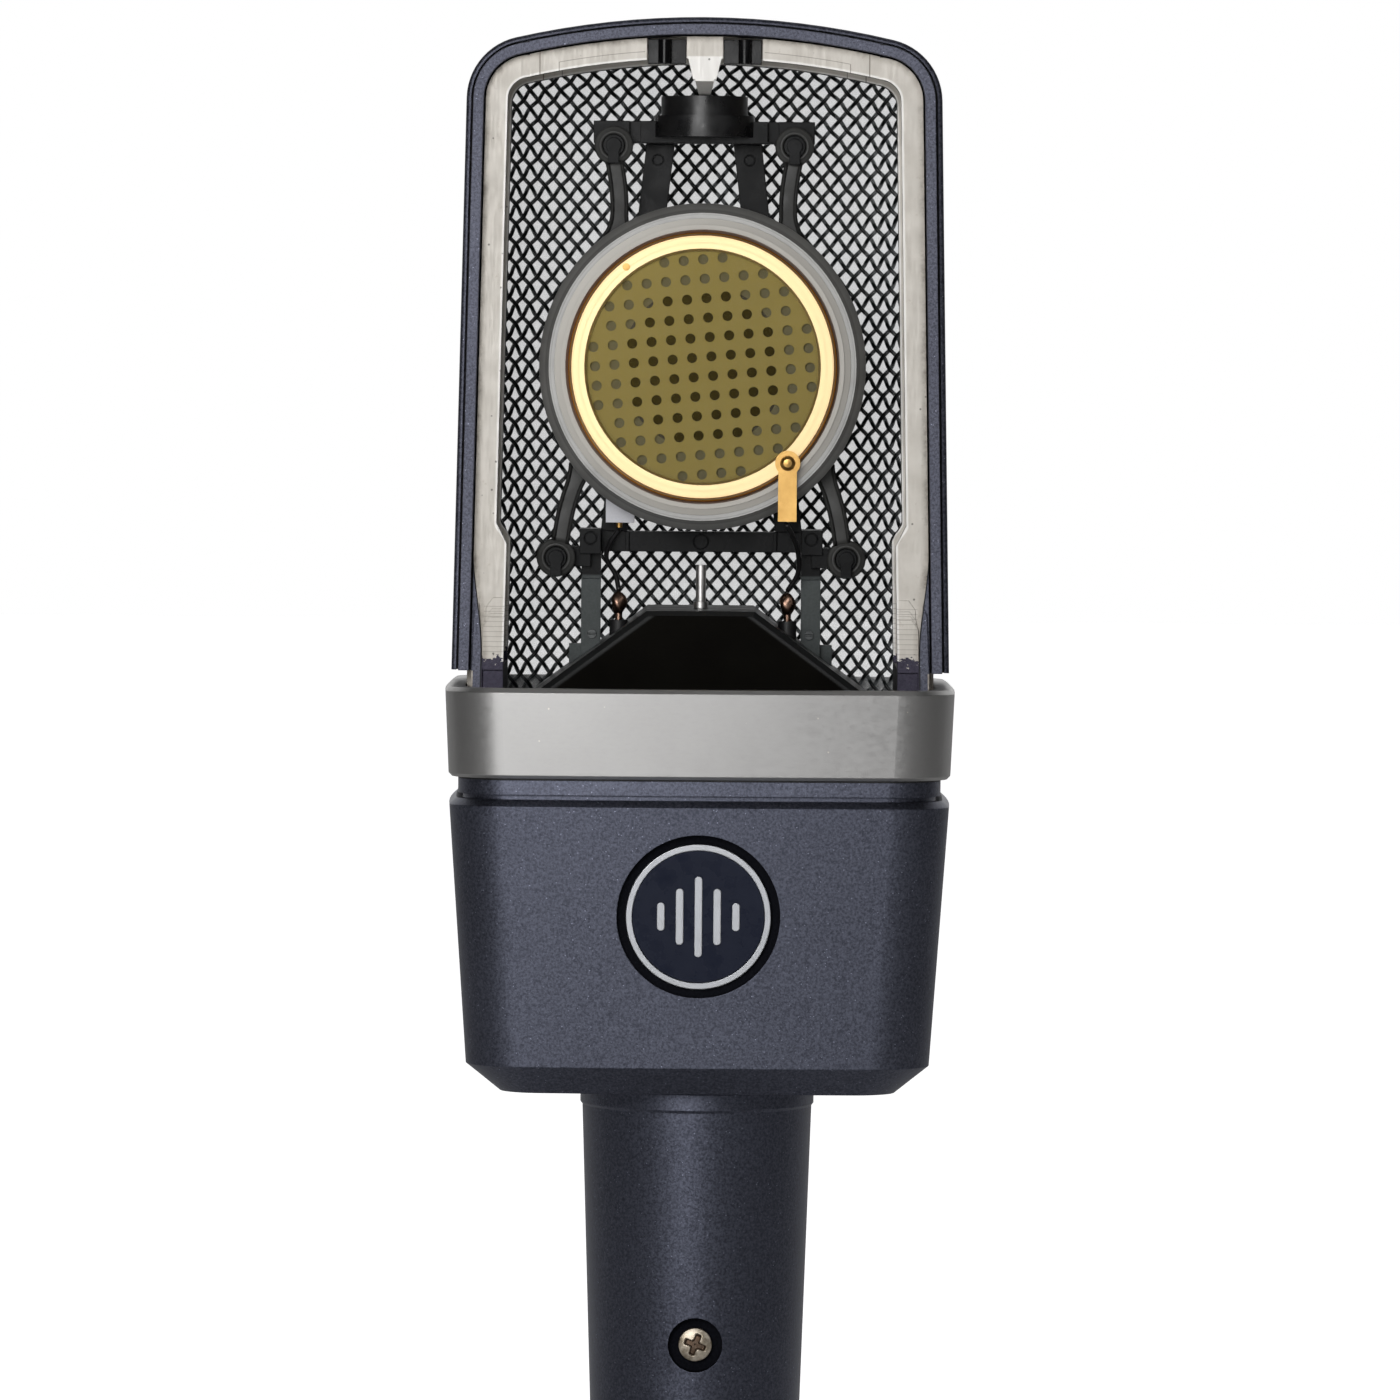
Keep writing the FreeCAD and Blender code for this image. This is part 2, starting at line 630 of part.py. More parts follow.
def contact_strip():
    """Gold strip from the contact screw down over the housing, folded at its end."""
    x, z = CONTACT_SCREW
    low_z = 105.9
    blade = fuse([cylinder_y(1.3, x, z, -7.4, -7.05), box(x - 1.0, x + 1.0, -7.4, -7.05, low_z, z)])
    fold = box(x - 1.0, x + 1.0, -7.4, -6.1, low_z, low_z + 0.35)
    hole = cylinder_y(0.45, x, z, -9, -5)
    return fuse([blade, fold]).cut(hole)


def ring_dowel():
    x, z = DOWEL
    return cylinder_y(0.40, x, z, -7.12, -6.4)


def rear_terminal_block():
    """White insulator at the capsule's lower edge that carries the rear contact."""
    block = box(-10.4, -7.3, 0.8, 4.2, 105.5, 110.5)
    return block.cut([cylinder_y(CAPSULE_CORE_R, 0, CAPSULE_Z, -8, 6), cylinder_z(0.37, -8.95, 2.4, 104, 108)])


def rear_contact_strip():
    """Gold strip across the capsule's back, ending in the block's pin."""
    centre_z = CAPSULE_Z
    length = math.hypot(8.95, centre_z - 107.2)
    strip = box(-0.9, 0.9, 4.22, 4.5, centre_z - length, centre_z + 2)
    strip.rotate(Vector(0, 0, centre_z), Y_AXIS, math.degrees(math.atan2(8.95, centre_z - 107.2)))
    pin = cylinder_z(0.35, -8.95, 2.4, 104.95, 107.9)
    return group([strip, pin])


# ---- leads and terminals ---------------------------------------------------
def bent_wire(points, radius):
    """A round wire along straight runs joined by tangent arcs."""
    edges = []
    start = Vector(*points[0])
    for index in range(1, len(points) - 1):
        before, here, after = (Vector(*points[i]) for i in (index - 1, index, index + 1))
        back, forth = before - here, after - here
        shorter = min(back.Length, forth.Length)
        turn = math.pi - back.getAngle(forth)
        trim = 0.45 * shorter
        bend_r = trim / math.tan(turn / 2)
        back.normalize()
        forth.normalize()
        enter, leave = here + back * trim, here + forth * trim
        inward = back + forth
        inward.normalize()
        middle = here + inward * (math.hypot(trim, bend_r) - bend_r)
        edges += [line(start, enter), arc(enter, middle, leave)]
        start = leave
    edges.append(line(start, Vector(*points[-1])))
    path = Part.Wire(edges)
    along = Vector(*points[1]) - Vector(*points[0])
    ring = Part.Wire(Part.makeCircle(radius, Vector(*points[0]), along))
    return path.makePipeShell([ring], True, False)


LEAD_R = 0.27
FRONT_LEAD = [(9.2, -6.6, 105.6), (9.9, -5.3, 104.2), (10.5, -3.6, 102.4), (10.5, -2.3, 100.2), (9.4, -1.6, 98.3)]
REAR_LEAD = [(-8.95, 2.4, 104.7), (-9.9, 1.9, 103.3), (-10.3, 0.9, 101.6), (-9.3, -0.1, 99.9), (-8.9, -0.8, 98.2)]
POSTS = [(9.4, -1.6), (-8.9, -0.8)]


def front_lead():
    return bent_wire(FRONT_LEAD, LEAD_R)


def rear_lead():
    return bent_wire(REAR_LEAD, LEAD_R)


def solder_posts():
    return group([cylinder_z(0.4, x, y, 91.5, 97.0) for x, y in POSTS])


def post_insulators():
    bushes = []
    for x, y in POSTS:
        bush = cylinder_z(1.0, x, y, 92.0, 95.0).cut(cylinder_z(0.4, x, y, 90, 97))
        bushes.append(bush)
    return group(bushes)


def solder_joints():
    blobs = []
    for x, y in POSTS:
        profile = [(0.4, 95.6), (0.75, 96.3), (0.85, 97.0), (0.65, 97.7), (0.3, 98.05), (0, 98.1), (0, 97.0),
                   (0.4, 97.0)]
        blobs.append(turned_z(profile, x, y))
    return group(blobs)


def centre_pin():
    """Silver post that stands on the cover, with a flange at its foot."""
    return fuse([cylinder_z(0.55, 0, 0, ROOF_TOP_Z - 1.2, 101.0), cylinder_z(0.8, 0, 0, ROOF_TOP_Z, 97.0)])


def roof_points(inset):
    rise = (ROOF_TOP_Z - ROOF_BASE_Z) / (ROOF_BASE_X - ROOF_TOP_X)
    shift = inset * math.hypot(1, rise) / rise
    base_z = ROOF_BASE_Z
    top_z = ROOF_TOP_Z - inset
    half_base = ROOF_BASE_X - shift
    half_top = half_base - (top_z - base_z) / rise
    return [(-half_base, base_z), (-half_top, top_z), (half_top, top_z), (half_base, base_z)]


def roof_prism(inset, y0, y1):
    return front_prism(roof_points(inset), y0, y1)


def diffuser_cover():
    """Roof-shaped cover under the capsule, hollow beneath."""
    roof = roof_prism(0.0, -ROOF_HALF_Y, ROOF_HALF_Y)
    edges = [edge for edge in roof.Edges if is_roof_edge(edge)]
    roof = roof.makeChamfer(0.55, edges)
    hollow = roof_prism(ROOF_WALL, -ROOF_HALF_Y + ROOF_WALL, ROOF_HALF_Y - ROOF_WALL)
    below = box(-15.0, 15.0, -9.5, 9.5, ROOF_BASE_Z - 1, ROOF_BASE_Z + 0.1)
    holes = [cylinder_z(1.0, x, y, 85, 99) for x, y in POSTS]
    holes.append(cylinder_z(0.55, 0, 0, 85, 99))
    return roof.cut([hollow, below] + holes)


def is_roof_edge(edge):
    middle = edge.valueAt((edge.FirstParameter + edge.LastParameter) / 2)
    level = abs(edge.Vertexes[0].Point.z - edge.Vertexes[-1].Point.z) < 0.01
    return abs(abs(middle.y) - ROOF_HALF_Y) < 0.01 and not (level and middle.z < ROOF_BASE_Z + 1)


def head_base_plate():
    """Plate that closes the head, clamped on the collar's inner flange."""
    plate = collar_bore(PLATE_BOTTOM_Z, ROOF_BASE_Z, COLLAR_WALL + 0.08)
    holes = [cylinder_z(0.8, sign * LEG_SCREW_X, 0, 80, 90) for sign in (-1, 1)]
    for x, y in chassis_screw_places():
        holes.append(cylinder_z(0.62, x, y, 80, 90))
        holes.append(cylinder_z(1.25, x, y, ROOF_BASE_Z - 0.7, 90))
    window = box(-14.0, 14.0, -8.5, 8.5, 80, 90)
    return plate.cut(holes + [window])


# ---- collar, body and badge ------------------------------------------------
def collar_bore(z0, z1, inset):
    """Straight-sided plug with the plan of the collar's foot, a distance inside it."""
    half_x, half_y = COLLAR_HALF_X - COLLAR_TAPER_X, COLLAR_HALF_Y - COLLAR_TAPER_Y
    return plan_loft([(z0, half_x, half_y, PLAN_CORNER_R), (z1, half_x, half_y, PLAN_CORNER_R)], inset)


def collar_ring():
    low_x, low_y = COLLAR_HALF_X - COLLAR_TAPER_X, COLLAR_HALF_Y - COLLAR_TAPER_Y
    low_edge, top_edge = 0.35, 0.45
    outer = plan_loft([
        (COLLAR_BOTTOM_Z, low_x - low_edge, low_y - low_edge, PLAN_CORNER_R - low_edge),
        (COLLAR_BOTTOM_Z + low_edge, low_x, low_y, PLAN_CORNER_R),
        (COLLAR_TOP_Z - top_edge, COLLAR_HALF_X, COLLAR_HALF_Y, PLAN_CORNER_R),
        (COLLAR_TOP_Z, COLLAR_HALF_X - top_edge, COLLAR_HALF_Y - top_edge, PLAN_CORNER_R - top_edge),
    ])
    flange_z0, flange_z1 = PLATE_BOTTOM_Z - 1.8, PLATE_BOTTOM_Z
    bores = [
        collar_bore(COLLAR_BOTTOM_Z - 1, flange_z0, COLLAR_WALL),
        collar_bore(flange_z0, flange_z1, COLLAR_WALL + 2.0),
        collar_bore(flange_z1, COLLAR_TOP_Z + 1, COLLAR_WALL),
    ]
    heads = [cylinder_z(1.7, sign * LEG_SCREW_X, 0, flange_z0 - 1, flange_z1 + 1) for sign in (-1, 1)]
    return outer.cut(bores + heads)


def collar_gasket():
    section = (BODY_HALF_X - 0.95, BODY_HALF_Y - 0.75, PLAN_CORNER_R - 0.6)
    outer = plan_loft([(BODY_LIP_Z, *section), (COLLAR_BOTTOM_Z, *section)])
    inner = plan_loft([(BODY_LIP_Z - 1, *section), (COLLAR_BOTTOM_Z + 1, *section)], 1.6)
    return outer.cut(inner)


def switch_recess(side):
    """Oval recess in a side wall, with a slot for the switch's knob."""
    reach = SWITCH_RECESS_HALF_Y - SWITCH_RECESS_R
    rounds = [Part.makeCylinder(SWITCH_RECESS_R, 6, Vector(SWITCH_FLOOR_X, y, SWITCH_Z), X_AXIS)
              for y in (-reach, reach)]
    middle = box(SWITCH_FLOOR_X, SWITCH_FLOOR_X + 6, -reach, reach, SWITCH_Z - SWITCH_RECESS_R,
                 SWITCH_Z + SWITCH_RECESS_R)
    pocket = fuse(rounds + [middle])
    slot = box(SWITCH_FLOOR_X - 4, SWITCH_FLOOR_X + 1, -1.1, 1.1, SWITCH_Z - 2.4, SWITCH_Z + 2.4)
    cutter = fuse([pocket, slot])
    return cutter if side > 0 else mirrored(cutter)


def body_shell():
    """Body casting, open at the top, with a lip and groove under the collar."""
    main = [
        (BODY_BOTTOM_Z, BODY_LOW_HALF_X - BODY_CHAMFER_X, BODY_LOW_HALF_Y - BODY_CHAMFER, PLAN_CORNER_R - 2.0),
        (BODY_CHAMFER_Z, BODY_LOW_HALF_X, BODY_LOW_HALF_Y, PLAN_CORNER_R),
        (BODY_TOP_Z, BODY_HALF_X, BODY_HALF_Y, PLAN_CORNER_R),
        (BODY_TOP_Z + 0.7, BODY_HALF_X - 0.75, BODY_HALF_Y - 0.75, PLAN_CORNER_R - 0.6),
    ]
    groove = (BODY_HALF_X - 1.5, BODY_HALF_Y - 1.3, PLAN_CORNER_R - 1.0)
    lip = (BODY_HALF_X - 0.95, BODY_HALF_Y - 0.75, PLAN_CORNER_R - 0.6)
    outer = fuse([
        plan_loft(main),
        plan_loft([(BODY_TOP_Z + 0.7, *groove), (BODY_LIP_Z - 1.6, *groove)]),
        plan_loft([(BODY_LIP_Z - 1.6, *lip), (BODY_LIP_Z, *lip)]),
    ])
    floor_z = BODY_BOTTOM_Z + BODY_FLOOR
    hollow = plan_loft([
        (floor_z, BODY_LOW_HALF_X - 1.0, BODY_LOW_HALF_Y - 1.0, PLAN_CORNER_R - 0.6),
        (floor_z + 1.5, BODY_LOW_HALF_X, BODY_LOW_HALF_Y, PLAN_CORNER_R),
        (BODY_TOP_Z, BODY_HALF_X - 0.8, BODY_HALF_Y - 0.8, PLAN_CORNER_R),
        (BODY_LIP_Z + 1, BODY_HALF_X - 0.8, BODY_HALF_Y - 0.8, PLAN_CORNER_R),
    ], BODY_WALL)
    badge_cut = cylinder_y(BADGE_RECESS_R, 0, BADGE_Z, -25, badge_floor_y())
    neck_hole = cylinder_z(SPIGOT_R, 0, 0, BODY_BOTTOM_Z - 1, floor_z + 1)
    return outer.cut([hollow, badge_cut, neck_hole, switch_recess(1), switch_recess(-1)])


def front_y(z):
    """Front of the body's main face at a height, on the centre line."""
    along = (z - BODY_CHAMFER_Z) / (BODY_TOP_Z - BODY_CHAMFER_Z)
    return -(BODY_LOW_HALF_Y + along * (BODY_HALF_Y - BODY_LOW_HALF_Y))


def badge_floor_y():
    return front_y(BADGE_Z) + 0.9


def badge_plate():
    y = badge_floor_y()
    return cylinder_y(BADGE_R, 0, BADGE_Z, y - 0.6, y)


def badge_ring():
    y = badge_floor_y()
    profile = [(BADGE_R - BADGE_RIM, y - 0.6), (BADGE_R - BADGE_RIM + 0.1, y - 0.85),
               (BADGE_R - 0.1, y - 0.85), (BADGE_R, y - 0.6)]
    return turned(profile, Vector(0, 0, BADGE_Z), Y_AXIS, X_AXIS)


def badge_emblem():
    """Plain level bars, a generic sound motif."""
    y = badge_floor_y()
    heights = (3.0, 6.0, 8.6, 6.0, 3.0)
    bars = []
    for index, height in enumerate(heights):
        x = (index - 2) * 2.0
        tall = height / 2 - 0.4
        bar = fuse([
            box(x - 0.4, x + 0.4, y - 0.8, y - 0.6, BADGE_Z - tall, BADGE_Z + tall),
            cylinder_y(0.4, x, BADGE_Z + tall, y - 0.8, y - 0.6),
            cylinder_y(0.4, x, BADGE_Z - tall, y - 0.8, y - 0.6),
        ])
        bars.append(bar)
    return group(bars)


# ---- side switches ---------------------------------------------------------
def switch_plate():
    reach = SWITCH_RECESS_HALF_Y - SWITCH_RECESS_R
    x0, x1 = SWITCH_FLOOR_X, SWITCH_FLOOR_X + 0.45
    r = SWITCH_RECESS_R - 0.05
    rounds = [Part.makeCylinder(r, x1 - x0, Vector(x0, y, SWITCH_Z), X_AXIS) for y in (-reach, reach)]
    middle = box(x0, x1, -reach, reach, SWITCH_Z - r, SWITCH_Z + r)
    slot = box(x0 - 1, x1 + 1, -1.1, 1.1, SWITCH_Z - 2.4, SWITCH_Z + 2.4)
    return fuse(rounds + [middle]).cut(slot)


def switch_knob():
    """Sliding knob in its upper position, ribbed across its face."""
    z = SWITCH_Z + KNOB_TRAVEL / 2
    head = box(23.9, 26.0, -1.0, 1.0, z - 1.3, z + 1.3)
    stem = box(21.0, 23.9, -0.6, 0.6, z - 0.8, z + 0.8)
    ribs = [box(25.75, 26.2, -1.1, 1.1, z + offset - 0.14, z + offset + 0.14) for offset in (-0.65, 0, 0.65)]
    return fuse([head, stem]).cut(ribs)


def switch_body():
    """Switch case on the chassis rail, hollow where the knob's stem slides."""
    z = SWITCH_Z + KNOB_TRAVEL / 2
    case = box(18.8, 23.2, -4.0, 4.0, SWITCH_Z - 6.0, SWITCH_Z + 6.0)
    cavity = box(20.7, 24, -0.75, 0.75, z - 0.95 - KNOB_TRAVEL, z + 0.95)
    return case.cut(cavity)


# ---- inside the body -------------------------------------------------------
RAIL_X0, RAIL_X1 = 17.8, 18.8
RAIL_HALF_Y = 5.0
CHASSIS_Z = BODY_BOTTOM_Z + BODY_FLOOR


def chassis_frame():
    """Folded sheet frame that ties the handle, the board and the head together."""
    top_z = PLATE_BOTTOM_Z
    floor = box(-RAIL_X1, RAIL_X1, -RAIL_HALF_Y, RAIL_HALF_Y, CHASSIS_Z, CHASSIS_Z + 1.2)
    pad = cylinder_z(12.6, 0, 0, CHASSIS_Z, CHASSIS_Z + 1.2)
    rails = both_sides(box(RAIL_X0, RAIL_X1, -RAIL_HALF_Y, RAIL_HALF_Y, CHASSIS_Z, top_z))
    tabs = both_sides(box(RAIL_X0, 21.2, -RAIL_HALF_Y, RAIL_HALF_Y, top_z - 1.2, top_z))
    ears = []
    for z in (56.0, 77.0):
        ears += both_sides(box(14.5, RAIL_X1, 2.6, 3.8, z - 2, z + 2))
    holes = [cylinder_z(SPIGOT_R, 0, 0, 40, CHASSIS_Z + 2)]
    holes += [cylinder_z(0.62, x, y, top_z - 2, top_z + 1) for x, y in chassis_screw_places()]
    holes += [cylinder_y(0.62, x, z, 0, 5) for x, z in board_screw_places()]
    return fuse([floor, pad] + rails + tabs + ears).cut(holes)


def board_screw_places():
    return [(sign * 15.6, z) for sign in (-1, 1) for z in (56.0, 77.0)]


def chassis_screw_places():
    return [(sign * 19.6, y) for sign in (-1, 1) for y in (-4, 4)]


def chassis_screws():
    """Screws sunk in the base plate that hold the chassis under it."""
    screws = []
    for x, y in chassis_screw_places():
        head = cylinder_z(1.2, x, y, ROOF_BASE_Z - 0.7, ROOF_BASE_Z - 0.05)
        screws.append(fuse([head, cylinder_z(0.6, x, y, ROOF_BASE_Z - 3.0, ROOF_BASE_Z - 0.6)]))
    return group(screws)


def circuit_board():
    board = box(-17.2, 17.2, 1.0, 2.6, 52.5, 81.0)
    holes = [cylinder_y(0.62, x, z, 0, 5) for x, z in board_screw_places()]
    return board.cut(holes)


def board_screws():
    screws = []
    for x, z in board_screw_places():
        screws.append(fuse([cylinder_y(1.1, x, z, 0.3, 1.0), cylinder_y(0.6, x, z, 0.9, 3.8)]))
    return group(screws)


def electrolytic_capacitors():
    cans = []
    for x, z, r in ((-9.0, 58.0, 3.2), (0.0, 58.0, 3.2), (9.5, 59.0, 2.6), (-10.5, 68.0, 2.6)):
        can = cylinder_y(r, x, z, -7.0, 1.0)
        groove = cylinder_y(r + 1, x, z, -0.6, -0.1).cut(cylinder_y(r - 0.2, x, z, -1, 0.5))
        cans.append(can.cut(groove))
    return group(cans)


def film_capacitors():
    return group([box(x, x + 7.2, -3.6, 1.0, z, z + 2.8) for x, z in ((-3.0, 66.0), (-3.0, 71.0), (6.0, 66.0))])


def transistors():
    cases = []
    for x, z in ((7.0, 73.0), (11.5, 73.0), (-8.0, 76.0)):
        can = cylinder_y(2.2, x, z, -3.5, 1.0).cut(box(x - 3, x + 3, -4, 2, z + 1.5, z + 3))
        cases.append(can)
    return group(cases)


def resistors():
    bodies = []
    for index in range(7):
        bodies.append(Part.makeCylinder(0.9, 6.0, Vector(-14.0 + 4.2 * index, 3.5, 60.0), Z_AXIS))
    return group(bodies)


# ---- handle and connector --------------------------------------------------
def handle_tube():
    """Tapered handle with its neck flange, and the shell of the connector in its end."""
    profile = [
        (SOCKET_R, 0.0), (HANDLE_END_R - 0.4, 0.0), (HANDLE_END_R, 0.4), (HANDLE_TOP_R, NECK_Z - 0.3),
        (NECK_R, NECK_Z), (NECK_R, BODY_BOTTOM_Z - 0.4), (NECK_R - 0.3, BODY_BOTTOM_Z),
        (SPIGOT_R, BODY_BOTTOM_Z), (SPIGOT_R, SPIGOT_TOP_Z), (8.5, SPIGOT_TOP_Z),
        (8.5, 46.0), (9.7, 44.8), (9.7, 24.5), (SOCKET_R, 23.0),
    ]
    tube = turned_z(profile)
    counterbore = cylinder_y(2.9, 0, SCREW_Z, -14, -10.3)
    hole = cylinder_y(1.0, 0, SCREW_Z, -14, 0)
    latch = box(-2.0, 2.0, 6.0, SOCKET_R + 1.1, -1.0, 12.5)
    return tube.cut([counterbore, hole, latch])


def handle_lock_nut():
    nut = cylinder_z(13.2, 0, 0, CHASSIS_Z + 1.2, CHASSIS_Z + 3.8).cut(cylinder_z(SPIGOT_R, 0, 0, 40, 60))
    slots = []
    for index in range(6):
        slot = box(12.3, 14, -1.2, 1.2, 40, 60)
        slot.rotate(Vector(0, 0, 0), Z_AXIS, 60 * index)
        slots.append(slot)
    return nut.cut(slots)


def pin_places():
    half = PIN_SPACING / 2
    return [(-half, 0.0), (half, 0.0), (0.0, -PIN_DROP)]


def connector_insert():
    """Moulded insert that holds the contacts and closes the socket's floor."""
    insert = cylinder_z(SOCKET_R, 0, 0, SOCKET_DEPTH, 22.6)
    holes = [cylinder_z(PIN_SHOULDER_R, x, y, 10, 30) for x, y in pin_places()]
    holes.append(cylinder_y(0.85, 0, SCREW_Z, -9, -6.6))
    return insert.cut(holes)


def connector_pins():
    pins = []
    profile = [
        (0, 2.0), (0.7, 2.15), (PIN_R, 2.9), (PIN_R, SOCKET_DEPTH), (PIN_SHOULDER_R, SOCKET_DEPTH),
        (PIN_SHOULDER_R, 22.6), (0.9, 22.6), (0.9, 26.0), (0, 26.0),
    ]
    for x, y in pin_places():
        pins.append(turned_z(profile, x, y))
    return group(pins)


def connector_screw():
    """Cross-recess screw that holds the insert in the handle."""
    head = cylinder_y(1.8, 0, SCREW_Z, -11.3, -10.3)
    shank = cylinder_y(0.84, 0, SCREW_Z, -10.4, -6.7)
    recess = [
        box(-1.1, 1.1, -11.4, -10.8, SCREW_Z - 0.24, SCREW_Z + 0.24),
        box(-0.24, 0.24, -11.4, -10.8, SCREW_Z - 1.1, SCREW_Z + 1.1),
    ]
    return fuse([head, shank]).cut(recess)


def ground_lug():
    """Spring tab that ties the shell to the first contact."""
    foot = box(6.0, 7.6, -1.5, 1.5, 22.6, 23.0)
    blade = box(7.2, 7.6, -1.5, 1.5, 22.6, 30.0)
    return fuse([foot, blade])


WIRE_R = 0.5


def connector_wires():
    tops = [(-5.5, 0.2), (5.5, 0.2), (0.0, -3.4)]
    wires = []
    for (x, y), (top_x, top_y) in zip(pin_places(), tops):
        start, end = Vector(x, y, 26.0), Vector(top_x, top_y, 52.0)
        wires.append(Part.makeCylinder(WIRE_R, (end - start).Length, start, end - start))
    return group(wires)


NODES = {
    "hoop_frame": hoop_frame,
    "hoop_screws": hoop_screws,
    "grille_clip_posts": grille_clip_posts,
    "rear_mesh_rim": rear_mesh_rim,
    "rear_mesh_coarse": lambda: mesh_sheet(0.0, 0.5),
    "rear_mesh_fine": lambda: mesh_sheet(0.35, 0.25),
    "top_buffer": top_buffer,
    "capsule_frame": capsule_frame,
    "frame_screws": frame_screws,
    "suspension_ring": suspension_ring,
    "suspension_arms": suspension_arms,
    "capsule_housing": capsule_housing,
    "capsule_seat_ring": capsule_seat_ring,
    "gold_clamp_ring": gold_clamp_ring,
    "diaphragm": diaphragm,
    "spacer_ring": spacer_ring,
    "backplate": backplate,
    "backplate_carrier": backplate_carrier,
    "capsule_rear_plate": capsule_rear_plate,
    "capsule_screws": capsule_screws,
    "contact_screw": contact_screw,
    "contact_strip": contact_strip,
    "ring_dowel": ring_dowel,
    "rear_terminal_block": rear_terminal_block,
    "rear_contact_strip": rear_contact_strip,
    "front_lead": front_lead,
    "rear_lead": rear_lead,
    "solder_posts": solder_posts,
    "post_insulators": post_insulators,
    "solder_joints": solder_joints,
    "centre_pin": centre_pin,
    "diffuser_cover": diffuser_cover,
    "head_base_plate": head_base_plate,
    "collar_ring": collar_ring,
    "collar_gasket": collar_gasket,
    "body_shell": body_shell,
    "badge_plate": badge_plate,
    "badge_ring": badge_ring,
    "badge_emblem": badge_emblem,
    "pad_switch_plate": lambda: mirrored(switch_plate()),
    "pad_switch_knob": lambda: mirrored(switch_knob()),
    "pad_switch_body": lambda: mirrored(switch_body()),
    "lowcut_switch_plate": switch_plate,
    "lowcut_switch_knob": switch_knob,
    "lowcut_switch_body": switch_body,
    "chassis_frame": chassis_frame,
    "chassis_screws": chassis_screws,
    "circuit_board": circuit_board,
    "board_screws": board_screws,
    "electrolytic_capacitors": electrolytic_capacitors,
    "film_capacitors": film_capacitors,
    "transistors": transistors,
    "resistors": resistors,
    "handle_tube": handle_tube,
    "handle_lock_nut": handle_lock_nut,
    "connector_insert": connector_insert,
    "connector_pins": connector_pins,
    "connector_screw": connector_screw,
    "ground_lug": ground_lug,
    "connector_wires": connector_wires,
}


def main():
    os.makedirs("parts", exist_ok=True)
    for name, make in NODES.items():
        shape = make()
        if not shape.isValid():
            print("invalid", name)
        shape.exportStep("parts/" + name + ".step")
        box_of = shape.BoundBox
        print("%-26s solids %d  volume %8.2f  x %.2f..%.2f y %.2f..%.2f z %.2f..%.2f" % (
            name, len(shape.Solids), shape.Volume, box_of.XMin, box_of.XMax, box_of.YMin, box_of.YMax,
            box_of.ZMin, box_of.ZMax))


main()
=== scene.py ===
import math
import random

import bpy
import numpy as np
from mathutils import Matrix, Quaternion, Vector
from mathutils.bvhtree import BVHTree


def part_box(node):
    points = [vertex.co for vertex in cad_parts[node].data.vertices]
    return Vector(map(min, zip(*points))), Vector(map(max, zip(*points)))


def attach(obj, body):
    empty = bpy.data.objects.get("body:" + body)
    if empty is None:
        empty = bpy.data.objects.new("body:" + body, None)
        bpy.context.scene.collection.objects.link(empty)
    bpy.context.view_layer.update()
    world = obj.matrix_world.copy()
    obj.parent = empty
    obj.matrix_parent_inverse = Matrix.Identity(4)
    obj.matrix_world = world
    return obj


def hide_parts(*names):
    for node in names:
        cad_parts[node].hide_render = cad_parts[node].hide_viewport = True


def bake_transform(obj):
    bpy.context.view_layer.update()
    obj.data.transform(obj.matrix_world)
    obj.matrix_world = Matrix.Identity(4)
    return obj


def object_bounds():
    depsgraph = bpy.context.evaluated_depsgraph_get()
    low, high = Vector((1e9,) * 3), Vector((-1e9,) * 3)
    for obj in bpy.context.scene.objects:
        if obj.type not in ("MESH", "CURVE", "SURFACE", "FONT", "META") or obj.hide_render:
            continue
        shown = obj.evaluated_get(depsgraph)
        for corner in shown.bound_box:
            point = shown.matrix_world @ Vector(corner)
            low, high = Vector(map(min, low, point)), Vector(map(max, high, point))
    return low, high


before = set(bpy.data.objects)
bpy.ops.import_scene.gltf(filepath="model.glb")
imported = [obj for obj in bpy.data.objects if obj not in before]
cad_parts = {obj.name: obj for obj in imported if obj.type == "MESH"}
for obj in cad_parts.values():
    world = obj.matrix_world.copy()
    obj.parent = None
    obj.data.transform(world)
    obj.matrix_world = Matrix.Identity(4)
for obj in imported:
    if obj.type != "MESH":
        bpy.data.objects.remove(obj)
cad_low, cad_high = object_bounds()

MM = 0.001
CAPSULE_CENTRE = (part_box("capsule_housing")[0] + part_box("capsule_housing")[1]) / 2
HEAD_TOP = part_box("hoop_frame")[1].z


